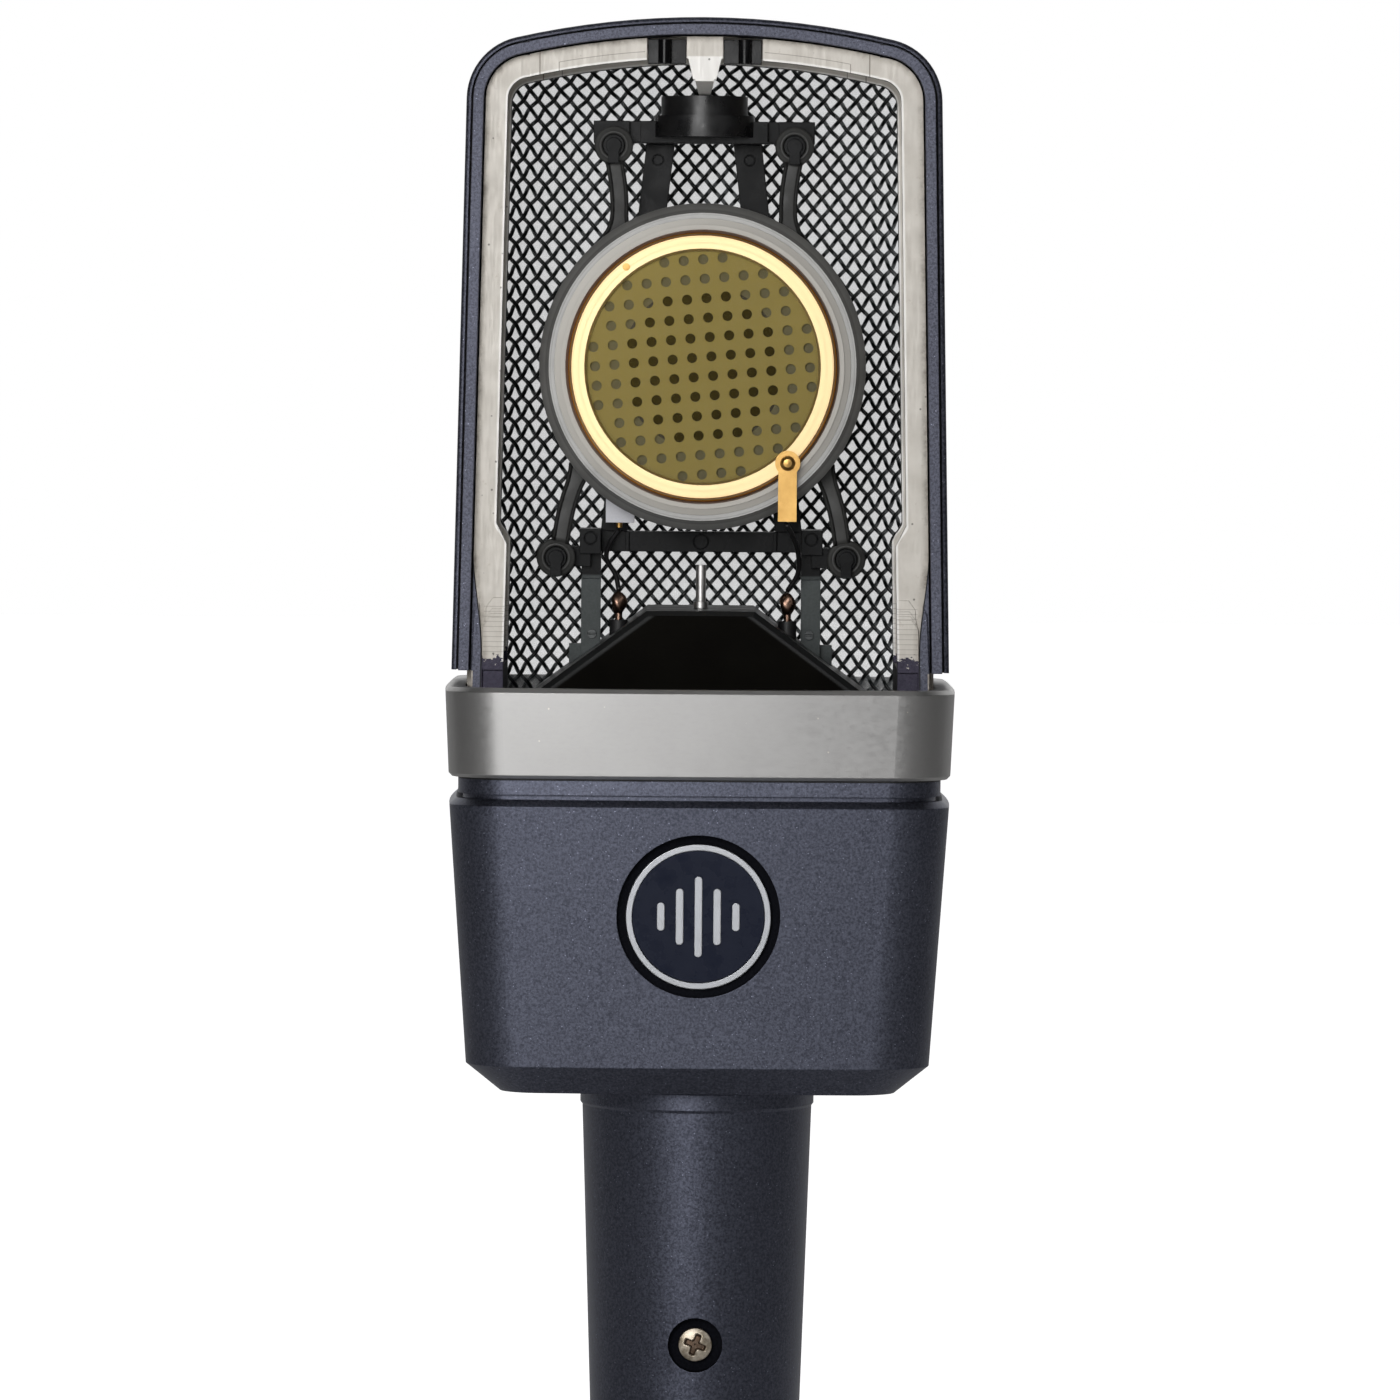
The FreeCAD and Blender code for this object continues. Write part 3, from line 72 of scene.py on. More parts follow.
# ---- shader helpers --------------------------------------------------------
class Shader:
    """A material's node tree, with short calls for the nodes it needs."""

    def __init__(self, name):
        self.material = bpy.data.materials.new(name)
        self.material.use_nodes = True
        self.tree = self.material.node_tree
        self.surface = self.tree.nodes["Principled BSDF"]
        self.output = self.tree.nodes["Material Output"]

    def node(self, kind, inputs=(), **settings):
        made = self.tree.nodes.new(kind)
        for key, value in settings.items():
            setattr(made, key, value)
        for key, value in dict(inputs).items():
            self.put(made.inputs[key], value)
        return made

    def put(self, socket, value):
        if isinstance(value, bpy.types.NodeSocket):
            self.tree.links.new(value, socket)
        else:
            socket.default_value = value

    def set(self, **values):
        for key, value in values.items():
            self.put(self.surface.inputs[key.replace("_", " ")], value)

    def math(self, operation, a, b=0.0, c=0.0):
        made = self.node("ShaderNodeMath", {0: a, 1: b, 2: c}, operation=operation)
        return made.outputs[0]

    def length(self, a, b):
        """Length of the vector (a, b)."""
        squares = self.math("POWER", a, 2.0), self.math("POWER", b, 2.0)
        return self.math("SQRT", self.math("ADD", *squares))

    def place(self):
        """Place on the object in millimetres."""
        coords = self.node("ShaderNodeTexCoord").outputs["Object"]
        scaled = self.node("ShaderNodeVectorMath", {0: coords, 1: (1000, 1000, 1000)}, operation="MULTIPLY")
        return scaled.outputs[0]

    def split(self, vector):
        made = self.node("ShaderNodeSeparateXYZ", {0: vector})
        return made.outputs[0], made.outputs[1], made.outputs[2]

    def stretched(self, vector, factors, offset=(0, 0, 0)):
        made = self.node("ShaderNodeVectorMath", {0: vector, 1: factors, 2: offset}, operation="MULTIPLY_ADD")
        return made.outputs[0]

    def noise(self, vector, scale, detail=3.0, rough=0.55):
        made = self.node("ShaderNodeTexNoise",
                         {"Vector": vector, "Scale": scale, "Detail": detail, "Roughness": rough})
        return made.outputs["Fac"]

    def cells(self, vector, scale, feature="F1"):
        made = self.node("ShaderNodeTexVoronoi", {"Vector": vector, "Scale": scale}, feature=feature)
        return made.outputs["Distance"]

    def ramp(self, value, low, high, to_low=0.0, to_high=1.0):
        """value carried from low..high to to_low..to_high, smoothly, and held at the ends."""
        inputs = {"Value": value, "From Min": low, "From Max": high, "To Min": to_low, "To Max": to_high}
        made = self.node("ShaderNodeMapRange", inputs, interpolation_type="SMOOTHSTEP")
        return made.outputs[0]

    def mix(self, amount, first, second):
        made = self.node("ShaderNodeMix", data_type="RGBA")
        colour_a, colour_b = (s for s in made.inputs if s.name in ("A", "B") and s.type == "RGBA")
        self.put(made.inputs["Factor"], amount)
        self.put(colour_a, first)
        self.put(colour_b, second)
        return next(s for s in made.outputs if s.type == "RGBA")

    def edge(self, radius=0.12):
        """Slightly rounded edges, radius in millimetres."""
        return self.node("ShaderNodeBevel", {"Radius": radius * MM}, samples=4).outputs[0]

    def band(self, value, low, high, soft=0.03):
        """1 between low and high, 0 outside."""
        rise = self.ramp(value, low - soft, low + soft)
        fall = self.ramp(value, high - soft, high + soft, 1.0, 0.0)
        return self.math("MULTIPLY", rise, fall)

    def bump(self, height, depth, strength=1.0, after=None):
        """Surface relief: height 0..1 is carried to a depth in metres."""
        made = self.node("ShaderNodeBump", {"Height": height, "Distance": depth, "Strength": strength})
        if after is not None:
            self.put(made.inputs["Normal"], after)
        return made.outputs[0]


def rgb(red, green, blue):
    """A colour from 0..255 screen values, as linear light."""
    def linear(value):
        value /= 255.0
        return value / 12.92 if value <= 0.04045 else ((value + 0.055) / 1.055) ** 2.4
    return (linear(red), linear(green), linear(blue), 1.0)


def finish_node(name, shader):
    """Gives a CAD node one material."""
    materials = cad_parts[name].data.materials
    if len(materials) == 0:
        materials.append(shader.material)
    for index in range(len(materials)):
        materials[index] = shader.material


# ---- materials -------------------------------------------------------------
BADGE_POCKET_R = 8.72
SCREW_POCKET_R = 2.95


def front_pockets(s, place):
    """1 inside the badge's pocket and the handle screw's counterbore, where painted shade, with some dust,
    darkens the paint.
    """
    x, y, z = s.split(place)
    in_front = s.math("LESS_THAN", y, 0.0)
    inside = None
    for node, radius in (("badge_plate", BADGE_POCKET_R), ("connector_screw", SCREW_POCKET_R)):
        low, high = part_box(node)
        up = s.math("SUBTRACT", z, (low.z + high.z) / 2 / MM)
        away = s.length(x, up)
        near = s.math("LESS_THAN", away, radius)
        inside = near if inside is None else s.math("MAXIMUM", inside, near)
    return s.math("MULTIPLY", inside, in_front)


def metallic_paint(name, dark, light, roughness=0.5, pockets=False):
    """Blue-grey metallic lacquer: fine flake, soft orange peel and a few painted glints, flakes coloured
    bright as if catching the light.
    """
    s = Shader(name)
    place = s.place()
    flake = s.noise(place, 3.6, 3.0, 0.7)
    peel = s.noise(place, 1.3, 2.0)
    cloud = s.noise(place, 0.07, 2.0)
    flake_glints = s.ramp(s.cells(place, 2.6), 0.06, 0.2, 1.0, 0.0)
    lit = s.ramp(s.noise(place, 1.7, 1.0), 0.5, 0.66)
    tone = s.math("MULTIPLY_ADD", s.ramp(flake, 0.32, 0.68), 0.7, s.math("MULTIPLY", cloud, 0.3))
    colour = s.mix(tone, dark, light)
    # painted glints: a few scattered flakes are coloured about three times brighter than the paint
    glint_colour = tuple(min(1.0, value * 3.2) for value in light[:3]) + (1,)
    colour = s.mix(s.math("MULTIPLY", s.math("MULTIPLY", flake_glints, lit), 0.8), colour, glint_colour)
    rough = s.ramp(flake, 0.3, 0.7, roughness - 0.06, roughness + 0.06)
    if pockets:
        # painted shade: inside the pockets the paint is coloured near black and made rougher
        shaded = front_pockets(s, place)
        colour = s.mix(s.math("MULTIPLY", shaded, 0.94), colour, s.mix(flake, rgb(5, 5, 7), rgb(22, 23, 30)))
        rough = s.math("MAXIMUM", rough, s.math("MULTIPLY", shaded, 0.75))
    s.set(Base_Color=colour, Metallic=0.96, Roughness=rough)
    s.set(Normal=s.bump(s.math("ADD", peel, s.math("MULTIPLY", flake, 0.7)), 0.00003, 0.6, s.edge(0.15)))
    return s


HOOP_HALF_WIDTH = 26.77       # at HOOP_SKIN_Z
HOOP_SKIN_Z = 89.8
HOOP_SPLAY = 0.0202
HOOP_ARCH_R = 90.0
HOOP_CORNER_R = 6.8
LEDGE_IN, LEDGE_IN_LOW = 4.45, 5.60
LEDGE_STEP_Z, LEDGE_STEP = 105.6, 2.2
LIP_IN, RIM_OUT = 0.55, 0.80  # insets of the dark joint between lip and rim
RIM_IN, RIM_ROOT = 1.94, 2.10
PAINT_FROM = 2.06             # inset where the bare ledge starts
WEDGE_LOW_Z, WEDGE_HIGH_Z, WEDGE_WIDTH = 91.5, 103.5, 1.2
SPRAY_Z, SPRAY_TOP_Z = 91.2, 93.0
SKIRT_Z, SKIRT_GAP_IN = 89.75, 2.35


def hoop_corner():
    """Centre of the hoop's upper corner, where the arch meets the side."""
    arch_z = HEAD_TOP / MM - HOOP_ARCH_R
    z = HEAD_TOP / MM - 9.0
    for _ in range(4):
        x = HOOP_HALF_WIDTH - HOOP_SPLAY * (z - HOOP_SKIN_Z) - HOOP_CORNER_R
        z = arch_z + math.sqrt((HOOP_ARCH_R - HOOP_CORNER_R) ** 2 - x ** 2)
    return x, z


def hoop_inset(s, place):
    """How far a point lies inside the hoop's outer outline, in millimetres."""
    x, y, z = s.split(place)
    across = s.math("ABSOLUTE", x)
    side_x = s.math("MULTIPLY_ADD", z, -HOOP_SPLAY, HOOP_HALF_WIDTH + HOOP_SPLAY * HOOP_SKIN_Z)
    side = s.math("SUBTRACT", side_x, across)
    above_arch = s.math("SUBTRACT", z, HEAD_TOP / MM - HOOP_ARCH_R)
    from_arch = s.length(across, above_arch)
    top = s.math("SUBTRACT", HOOP_ARCH_R, from_arch)
    corner_x, corner_z = hoop_corner()
    dx = s.math("MAXIMUM", s.math("SUBTRACT", across, corner_x), 0.0)
    dz = s.math("MAXIMUM", s.math("SUBTRACT", z, corner_z), 0.0)
    from_corner = s.length(dx, dz)
    corner = s.math("SUBTRACT", HOOP_CORNER_R, from_corner)
    in_corner = s.math("MULTIPLY", s.math("GREATER_THAN", dx, 0.0), s.math("GREATER_THAN", dz, 0.0))
    plain = s.math("MULTIPLY", s.math("MINIMUM", side, top), s.math("SUBTRACT", 1.0, in_corner))
    return s.math("ADD", plain, s.math("MULTIPLY", corner, in_corner)), x, y, z


def painted_colour(s):
    """The colour that already feeds the paint's shader."""
    return s.surface.inputs["Base Color"].links[0].from_socket


def hoop_finish():
    """Metallic paint outside, bare cast metal on the ledges, with a ragged paint edge low down."""
    s = metallic_paint("hoop_paint", rgb(48, 49, 57), rgb(106, 108, 121), 0.5)
    painted = s.surface
    place = s.place()
    inset, x, y, z = hoop_inset(s, place)
    fine = s.noise(place, 1.6, 4.0, 0.7)

    # where the paint ends: a wedge of paint grows downwards beside the rim, then ragged overspray
    wedge = s.ramp(z, WEDGE_LOW_Z, WEDGE_HIGH_Z, WEDGE_WIDTH, 0.0)
    pad_from = s.math("ADD", PAINT_FROM, wedge)
    clear_of_rim = s.math("GREATER_THAN", inset, pad_from)
    ragged = s.math("MULTIPLY_ADD", fine, 4.0, s.math("SUBTRACT", z, 2.0))
    above_spray = s.math("GREATER_THAN", ragged, SPRAY_Z)
    gap = s.math("MULTIPLY", s.math("LESS_THAN", z, SKIRT_Z), s.math("LESS_THAN", inset, SKIRT_GAP_IN))
    behind_rim = s.math("LESS_THAN", s.math("ABSOLUTE", y), 11.85)
    ledge = s.math("MULTIPLY", s.math("MULTIPLY", clear_of_rim, above_spray), behind_rim)
    nicks = s.math("MULTIPLY", s.ramp(s.noise(place, 0.9, 5.0, 0.75), 0.69, 0.71),
                   s.ramp(s.noise(place, 0.13, 1.0), 0.5, 0.6))
    bare = s.math("MINIMUM", s.math("ADD", s.math("MAXIMUM", ledge, gap), nicks), 1.0)

    # bare cast metal
    metal = s.node("ShaderNodeBsdfPrincipled")
    grain = s.noise(s.stretched(place, (5.0, 5.0, 0.6)), 1.0, 3.0)
    specks = s.ramp(s.cells(place, 0.55), 0.03, 0.09, 1.0, 0.0)
    grime = s.ramp(s.noise(place, 1.1, 5.0, 0.7), 0.6, 0.75)
    # painted shade with some dirt: the bare ledge is coloured darker and browner beside the rim's step
    rim_shade = s.ramp(s.math("SUBTRACT", inset, pad_from), 0.0, 0.9, 1.0, 0.0)
    rim_dirt_and_shade = s.math("MULTIPLY", rim_shade, s.ramp(s.noise(place, 0.5, 5.0, 0.75), 0.4, 0.75))
    inner_edge = s.ramp(z, LEDGE_STEP_Z - LEDGE_STEP, LEDGE_STEP_Z, LEDGE_IN_LOW, LEDGE_IN)
    # painted highlight along the ledge's inner edge
    inner_edge_highlight = s.ramp(s.math("SUBTRACT", inset, inner_edge), -0.32, -0.12)
    colour = s.mix(s.noise(place, 0.35, 3.0), rgb(190, 184, 174), rgb(226, 221, 213))
    # painted shade with some dirt beside the rim, in the two mixes that use the rim masks
    colour = s.mix(s.math("MULTIPLY", rim_shade, 0.45), colour, rgb(140, 130, 116))
    colour = s.mix(s.math("MULTIPLY", grime, 0.35), colour, rgb(160, 146, 130))
    colour = s.mix(s.math("MULTIPLY", rim_dirt_and_shade, 0.7), colour, rgb(86, 74, 62))
    # painted highlight: the ledge's inner edge is coloured near white
    colour = s.mix(s.math("MULTIPLY", inner_edge_highlight, 0.8), colour, rgb(252, 250, 246))
    colour = s.mix(s.math("MULTIPLY", specks, 0.75), colour, rgb(52, 44, 38))
    colour = s.mix(hoop_scribing(s, inset, x, z), colour, rgb(96, 82, 70))
    s.put(metal.inputs["Base Color"], colour)
    metal.inputs["Metallic"].default_value = 0.25
    s.put(metal.inputs["Roughness"], s.ramp(grain, 0.3, 0.7, 0.42, 0.58))
    s.put(metal.inputs["Normal"], s.bump(grain, 0.00002, 0.4, s.edge(0.1)))
    spray = s.math("MULTIPLY", s.math("LESS_THAN", z, SPRAY_TOP_Z), s.math("GREATER_THAN", inset, pad_from))
    sprayed = s.mix(fine, rgb(24, 20, 30), rgb(66, 60, 74))
    colour = s.mix(s.math("MULTIPLY", spray, 0.75), painted_colour(s), sprayed)
    s.put(painted.inputs["Base Color"], colour)
    blend = s.node("ShaderNodeMixShader", {0: bare, 1: painted.outputs[0], 2: metal.outputs[0]})

    # dark joints: between lip and rim, between rim and ledge, and beside the painted wedge; and painted
    # shade: the hoop's inner wall is coloured near black
    dark = s.node("ShaderNodeBsdfPrincipled")
    s.put(dark.inputs["Base Color"], s.mix(fine, rgb(8, 8, 9), rgb(24, 24, 27)))
    dark.inputs["Roughness"].default_value = 0.7
    forward = s.math("GREATER_THAN", s.math("ABSOLUTE", y), 9.0)
    lip_groove = s.math("MULTIPLY", s.band(inset, LIP_IN, RIM_OUT), forward)
    root_line = s.math("MULTIPLY", s.band(inset, RIM_IN, RIM_ROOT), forward)
    wedge_line = s.math("MULTIPLY", s.band(s.math("SUBTRACT", inset, pad_from), -0.13, 0.0),
                        s.math("LESS_THAN", z, 103.0))
    beside_tongue = s.math("GREATER_THAN", s.math("ABSOLUTE", x), 3.0)
    within = s.math("MULTIPLY", s.band(y, -10.7, 11.0), beside_tongue)
    # painted shade: the inner wall between the front and rear ledges is coloured near black
    shaded_wall = s.math("MULTIPLY", s.ramp(s.math("SUBTRACT", inset, inner_edge), -0.06, -0.02), within)
    lines = s.math("MAXIMUM", s.math("MAXIMUM", lip_groove, root_line), s.math("MAXIMUM", wedge_line, shaded_wall))
    blend = s.node("ShaderNodeMixShader", {0: lines, 1: blend.outputs[0], 2: dark.outputs[0]})
    s.put(s.output.inputs["Surface"], blend.outputs[0])
    return s


def hoop_scribing(s, inset, x, z):
    """Fine tool lines on the bare ledges: seams at the top and terraces at the foot."""
    across = s.math("ABSOLUTE", x)
    high = s.math("GREATER_THAN", z, 148.0)
    seam = s.math("MULTIPLY", s.band(across, 17.60, 17.72), high)
    step = s.math("MULTIPLY", s.band(inset, 3.52, 3.58), s.band(across, 6.4, 15.6))
    step_end = s.math("MULTIPLY", s.band(across, 15.56, 15.64), s.math("GREATER_THAN", inset, 3.55))
    top = s.math("MAXIMUM", seam, s.math("MULTIPLY", s.math("MAXIMUM", step, step_end), high))
    foot = s.math("MULTIPLY", s.band(z, 91.6, 96.9), s.math("GREATER_THAN", inset, 3.35))
    terrace = s.ramp(s.math("PINGPONG", z, 0.27), 0.02, 0.07, 1.0, 0.0)
    terraces = s.math("MULTIPLY", terrace, foot)
    return s.math("MULTIPLY", s.math("MAXIMUM", top, s.math("MULTIPLY", terraces, 0.45)), 0.7)


def satin_nickel(name, dark, light, roughness=0.34, along=(0.25, 6.0, 9.0)):
    """Brushed plate with hairlines and a few small nicks."""
    s = Shader(name)
    place = s.place()
    hair = s.noise(s.stretched(place, along), 1.0, 4.0, 0.7)
    cloud = s.noise(place, 0.08, 3.0)
    pits = s.ramp(s.cells(place, 0.33), 0.012, 0.045, 1.0, 0.0)
    tone = s.math("MULTIPLY_ADD", hair, 0.55, s.math("MULTIPLY", cloud, 0.5))
    colour = s.mix(tone, dark, light)
    colour = s.mix(s.math("MULTIPLY", pits, 0.8), colour, rgb(215, 210, 200))
    s.set(Base_Color=colour, Metallic=1.0)
    s.set(Roughness=s.ramp(hair, 0.3, 0.7, roughness - 0.06, roughness + 0.08))
    s.set(Normal=s.bump(s.math("SUBTRACT", hair, pits), 0.00001, 0.35, s.edge(0.12)))
    return s


def moulded_plastic(name, dark, light, roughness=0.5, gloss=0.5):
    """Matt to satin plastic with a very fine grain."""
    s = Shader(name)
    place = s.place()
    grain = s.noise(place, 5.0, 3.0)
    cloud = s.noise(place, 0.3, 3.0)
    s.set(Base_Color=s.mix(s.math("MULTIPLY_ADD", grain, 0.5, s.math("MULTIPLY", cloud, 0.5)), dark, light))
    s.set(Roughness=s.ramp(cloud, 0.3, 0.7, roughness - 0.08, roughness + 0.08), Specular_IOR_Level=gloss)
    s.set(Normal=s.bump(grain, 0.00001, 0.5, s.edge(0.15)))
    return s


def gloss_black(name):
    s = Shader(name)
    place = s.place()
    smear = s.noise(place, 0.16, 4.0)
    dust = s.ramp(s.cells(place, 1.1), 0.02, 0.06, 1.0, 0.0)
    s.set(Base_Color=s.mix(s.math("MULTIPLY", dust, 0.2), rgb(12, 12, 12), rgb(110, 108, 105)))
    s.set(Roughness=s.ramp(smear, 0.35, 0.65, 0.2, 0.34), IOR=1.42)
    s.set(Normal=s.bump(s.noise(place, 1.2, 2.0), 0.000003, 0.3, s.edge(0.2)))
    return s


def turned_metal(name, dark, light, roughness, pitch=0.11, relief=0.00001, metallic=1.0, scribe=None):
    """Lathe-turned finish: fine grooves round the capsule's own axis."""
    s = Shader(name)
    place = s.place()
    centre = CAPSULE_CENTRE / MM
    x, y, z = s.split(s.stretched(place, (1, 1, 1), (-centre.x, 0, -centre.z)))
    radius = s.length(x, z)
    flat = s.node("ShaderNodeCombineXYZ", {0: radius, 1: y, 2: 0.0}).outputs[0]
    grooves = s.noise(flat, 1.0 / pitch, 2.0, 0.6)
    cloud = s.noise(place, 0.25, 3.0)
    tone = s.math("MULTIPLY_ADD", grooves, 0.7, s.math("MULTIPLY", cloud, 0.3))
    colour = s.mix(tone, dark, light)
    if scribe is not None:
        colour = s.mix(s.band(radius, *scribe), colour, rgb(120, 62, 14))
        colour = s.mix(s.ramp(radius, scribe[1] + 0.03, scribe[1] + 0.2), colour, rgb(226, 148, 60))
    s.set(Base_Color=colour, Metallic=metallic)
    s.set(Roughness=s.ramp(grooves, 0.3, 0.7, roughness - 0.05, roughness + 0.08))
    s.set(Normal=s.bump(grooves, relief, 0.6))
    return s


def gold(name, roughness=0.36):
    s = Shader(name)
    place = s.place()
    grain = s.noise(place, 4.0, 4.0, 0.7)
    cloud = s.noise(place, 0.5, 2.0)
    s.set(Base_Color=s.mix(cloud, rgb(156, 118, 62), rgb(212, 172, 106)), Metallic=1.0)
    s.set(Roughness=s.ramp(grain, 0.35, 0.7, roughness - 0.04, roughness + 0.14))
    s.set(Normal=s.bump(grain, 0.000006, 0.5))
    return s


def frame_finish():
    """Moulded frame whose lower legs are painted paler, with a fine grain, as painted light; the rest stays
    near black.
    """
    s = moulded_plastic("frame_moulding", rgb(12, 12, 13), rgb(26, 27, 28), 0.3, gloss=0.1)
    place = s.place()
    z = s.split(place)[2]
    # painted light: the lower legs are coloured much paler than the rest of the frame
    lit_lower_legs = s.math("MULTIPLY", s.ramp(z, 99.6, 99.9, 1.0, 0.0), s.ramp(z, 88.0, 92.0))
    grain = s.noise(place, 4.0, 3.0)
    base = s.mix(s.noise(place, 0.3, 3.0), rgb(12, 12, 13), rgb(26, 27, 28))
    s.set(Base_Color=s.mix(lit_lower_legs, base, s.mix(grain, rgb(70, 75, 75), rgb(92, 97, 97))))
    return s


COVER_SHOULDER_X = 5.8        # where the cover's flat top ends


def cover_finish():
    """Black tent-shaped cover: its front is deep black and matt inside a lighter rim that follows the slopes;
    the rim's lighter colour is a painted highlight on the chamfered edges.
    """
    s = moulded_plastic("cover_black", rgb(22, 23, 23), rgb(40, 41, 41), 0.36, gloss=0.16)
    place = s.place()
    x, y, z = s.split(place)
    low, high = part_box("diffuser_cover")
    slope_x, slope_z = COVER_SHOULDER_X - high.x / MM, (high.z - low.z) / MM
    length = math.hypot(slope_x, slope_z)
    across = s.math("SUBTRACT", s.math("ABSOLUTE", x), COVER_SHOULDER_X)
    up = s.math("SUBTRACT", z, high.z / MM)
    falling = s.math("MULTIPLY", up, slope_x / length)
    inset = s.math("SUBTRACT", falling, s.math("MULTIPLY", across, slope_z / length))
    # painted highlight: outside the front face the cover keeps its lighter colour, so the chamfered rim reads
    # as lit
    face = s.math("MULTIPLY", s.ramp(inset, 0.75, 1.05), s.math("LESS_THAN", s.math("ADD", up, 0.12), 0.0))
    front = s.math("MULTIPLY", face, s.math("GREATER_THAN", s.math("ABSOLUTE", y), high.y / MM - 0.05))
    matt = s.node("ShaderNodeBsdfDiffuse")
    s.put(matt.inputs["Color"], s.mix(s.noise(place, 0.2, 4.0), rgb(14, 13, 12), rgb(24, 23, 20)))
    blend = s.node("ShaderNodeMixShader", {0: front, 1: s.surface.outputs[0], 2: matt.outputs[0]})
    s.put(s.output.inputs["Surface"], blend.outputs[0])
    return s


def gilded_film():
    """Gold film so thin that the drilled plate behind it shows through."""
    s = Shader("gilded_film")
    place = s.place()
    ripple = s.noise(place, 0.12, 2.0)
    s.set(Base_Color=s.mix(ripple, rgb(150, 128, 60), rgb(166, 144, 72)), Metallic=0.8)
    s.set(Roughness=s.ramp(ripple, 0.3, 0.7, 0.16, 0.22), Alpha=0.022)
    return s


OPEN_HOLES_R = 8.82           # sound holes nearer the capsule's axis than this go right through


def lapped_brass():
    """Flat olive plate, seen through the film; its holes hold painted shade, near black where they go right
    through and darker olive in the blind ones.
    """
    s = Shader("lapped_brass")
    place = s.place()
    grain = s.noise(place, 3.0, 3.0)
    cloud = s.noise(place, 0.12, 2.0)
    tone = s.math("MULTIPLY_ADD", grain, 0.4, s.math("MULTIPLY", cloud, 0.6))
    x, y, z = s.split(place)
    in_hole = s.ramp(y, -5.9, -5.6)
    colour = s.mix(tone, rgb(128, 112, 44), rgb(146, 129, 58))
    centre = CAPSULE_CENTRE / MM
    up = s.math("SUBTRACT", z, centre.z)
    away = s.length(x, up)
    # painted shade on the hole walls: near black in the open holes, darker olive in the blind ones
    shaded_wall = s.mix(s.math("LESS_THAN", away, OPEN_HOLES_R), rgb(84, 80, 54), rgb(8, 11, 22))
    s.set(Base_Color=s.mix(in_hole, colour, shaded_wall), Metallic=0.1)
    s.set(Roughness=s.ramp(grain, 0.3, 0.7, 0.55, 0.66), Normal=s.bump(grain, 0.000003, 0.3))
    return s


def rubber(name, dark, light, roughness=0.55):
    s = Shader(name)
    place = s.place()
    grain = s.noise(place, 3.5, 4.0, 0.6)
    bloom = s.noise(place, 0.4, 3.0)
    s.set(Base_Color=s.mix(s.math("MULTIPLY_ADD", bloom, 0.6, s.math("MULTIPLY", grain, 0.4)), dark, light))
    s.set(Roughness=s.ramp(bloom, 0.3, 0.7, roughness - 0.1, roughness + 0.1), IOR=1.48)
    s.set(Normal=s.bump(grain, 0.00001, 0.5))
    return s


def fine_gauze():
    """Pale wire gauze, so fine that it reads as a mottled veil with light coming through."""
    s = Shader("fine_gauze")
    place = s.place()
    x, _, z = s.split(place)
    pitch = 0.2
    warp = s.math("PINGPONG", x, pitch / 2)
    weft = s.math("PINGPONG", z, pitch / 2)
    weave = s.math("MULTIPLY", s.math("ADD", warp, weft), 1.0 / pitch)
    mottle = s.noise(place, 1.6, 3.0, 0.6)
    s.set(Base_Color=s.mix(mottle, rgb(166, 170, 172), rgb(196, 200, 203)), Metallic=0.1, Roughness=0.6)
    s.set(Alpha=s.math("ADD", s.ramp(mottle, 0.3, 0.7, 0.22, 0.26), s.math("MULTIPLY", weave, 0.03)))
    s.set(Normal=s.bump(weave, 0.00002, 0.3))
    return s


def circuit_green():
    s = Shader("circuit_green")
    place = s.place()
    tracks = s.ramp(s.cells(s.stretched(place, (0.5, 0.1, 0.25)), 1.0, "DISTANCE_TO_EDGE"), 0.02, 0.05)
    s.set(Base_Color=s.mix(tracks, rgb(40, 120, 70), rgb(18, 72, 42)), Roughness=0.35)
    s.set(Normal=s.bump(tracks, 0.00003, 0.5))
    return s


# ---- woven rear grille -----------------------------------------------------
def node_bvh(name):
    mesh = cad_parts[name].data
    return BVHTree.FromPolygons([v.co[:] for v in mesh.vertices], [p.vertices[:] for p in mesh.polygons])


def mesh_object(name, points, faces, shader, body="root"):
    mesh = bpy.data.meshes.new(name)
    mesh.from_pydata(points, [], faces)
    mesh.materials.append(shader.material)
    mesh.polygons.foreach_set("use_smooth", [True] * len(mesh.polygons))
    piece = bpy.data.objects.new(name, mesh)
    bpy.context.scene.collection.objects.link(piece)
    if body is not None:
        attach(piece, body)
    return piece


class TubeMesh:
    """Collects round wires as one mesh of tubes."""

    def __init__(self, sides=6):
        self.sides = sides
        self.points = []
        self.faces = []

    def add(self, path, radius):
        first = len(self.points)
        side_hint = Vector((0, 1, 0))
        for index, here in enumerate(path):
            before, after = path[max(index - 1, 0)], path[min(index + 1, len(path) - 1)]
            along = (after - before).normalized()
            across = along.cross(side_hint).normalized()
            up = across.cross(along)
            for step in range(self.sides):
                angle = 2 * math.pi * step / self.sides
                self.points.append(here + (across * math.cos(angle) + up * math.sin(angle)) * radius)
        for ring in range(len(path) - 1):
            for step in range(self.sides):
                a = first + ring * self.sides + step
                b = first + ring * self.sides + (step + 1) % self.sides
                self.faces.append((a, b, b + self.sides, a + self.sides))
        self.faces.append(tuple(first + step for step in reversed(range(self.sides))))
        last = first + (len(path) - 1) * self.sides
        self.faces.append(tuple(last + step for step in range(self.sides)))


MESH_ANGLE = math.radians(49.6)
MESH_PITCH = 1.42 * MM
MESH_WIRE = 0.225 * MM
MESH_SAMPLES = 8              # points along a wire from one crossing to the next
MESH_LIFT = 0.12 * MM         # how far the weave's middle lies in front of the sheet's inner face


def arc_length_map(drop, low, high):
    """Pairs place with length along the sheet, so the weave closes up where the sheet turns away."""
    count = 160
    places = [low + (high - low) * (index + 0.5) / count for index in range(count)]
    hits = [(place, drop(place)) for place in places]
    hits = [(place, hit) for place, hit in hits if hit is not None]
    lengths = [0.0]
    for (_, before), (_, here) in zip(hits, hits[1:]):
        lengths.append(lengths[-1] + (here - before).length)
    places = [place for place, _ in hits]
    middle = float(np.interp(0.5 * (low + high), places, lengths))
    return places, [length - middle for length in lengths]


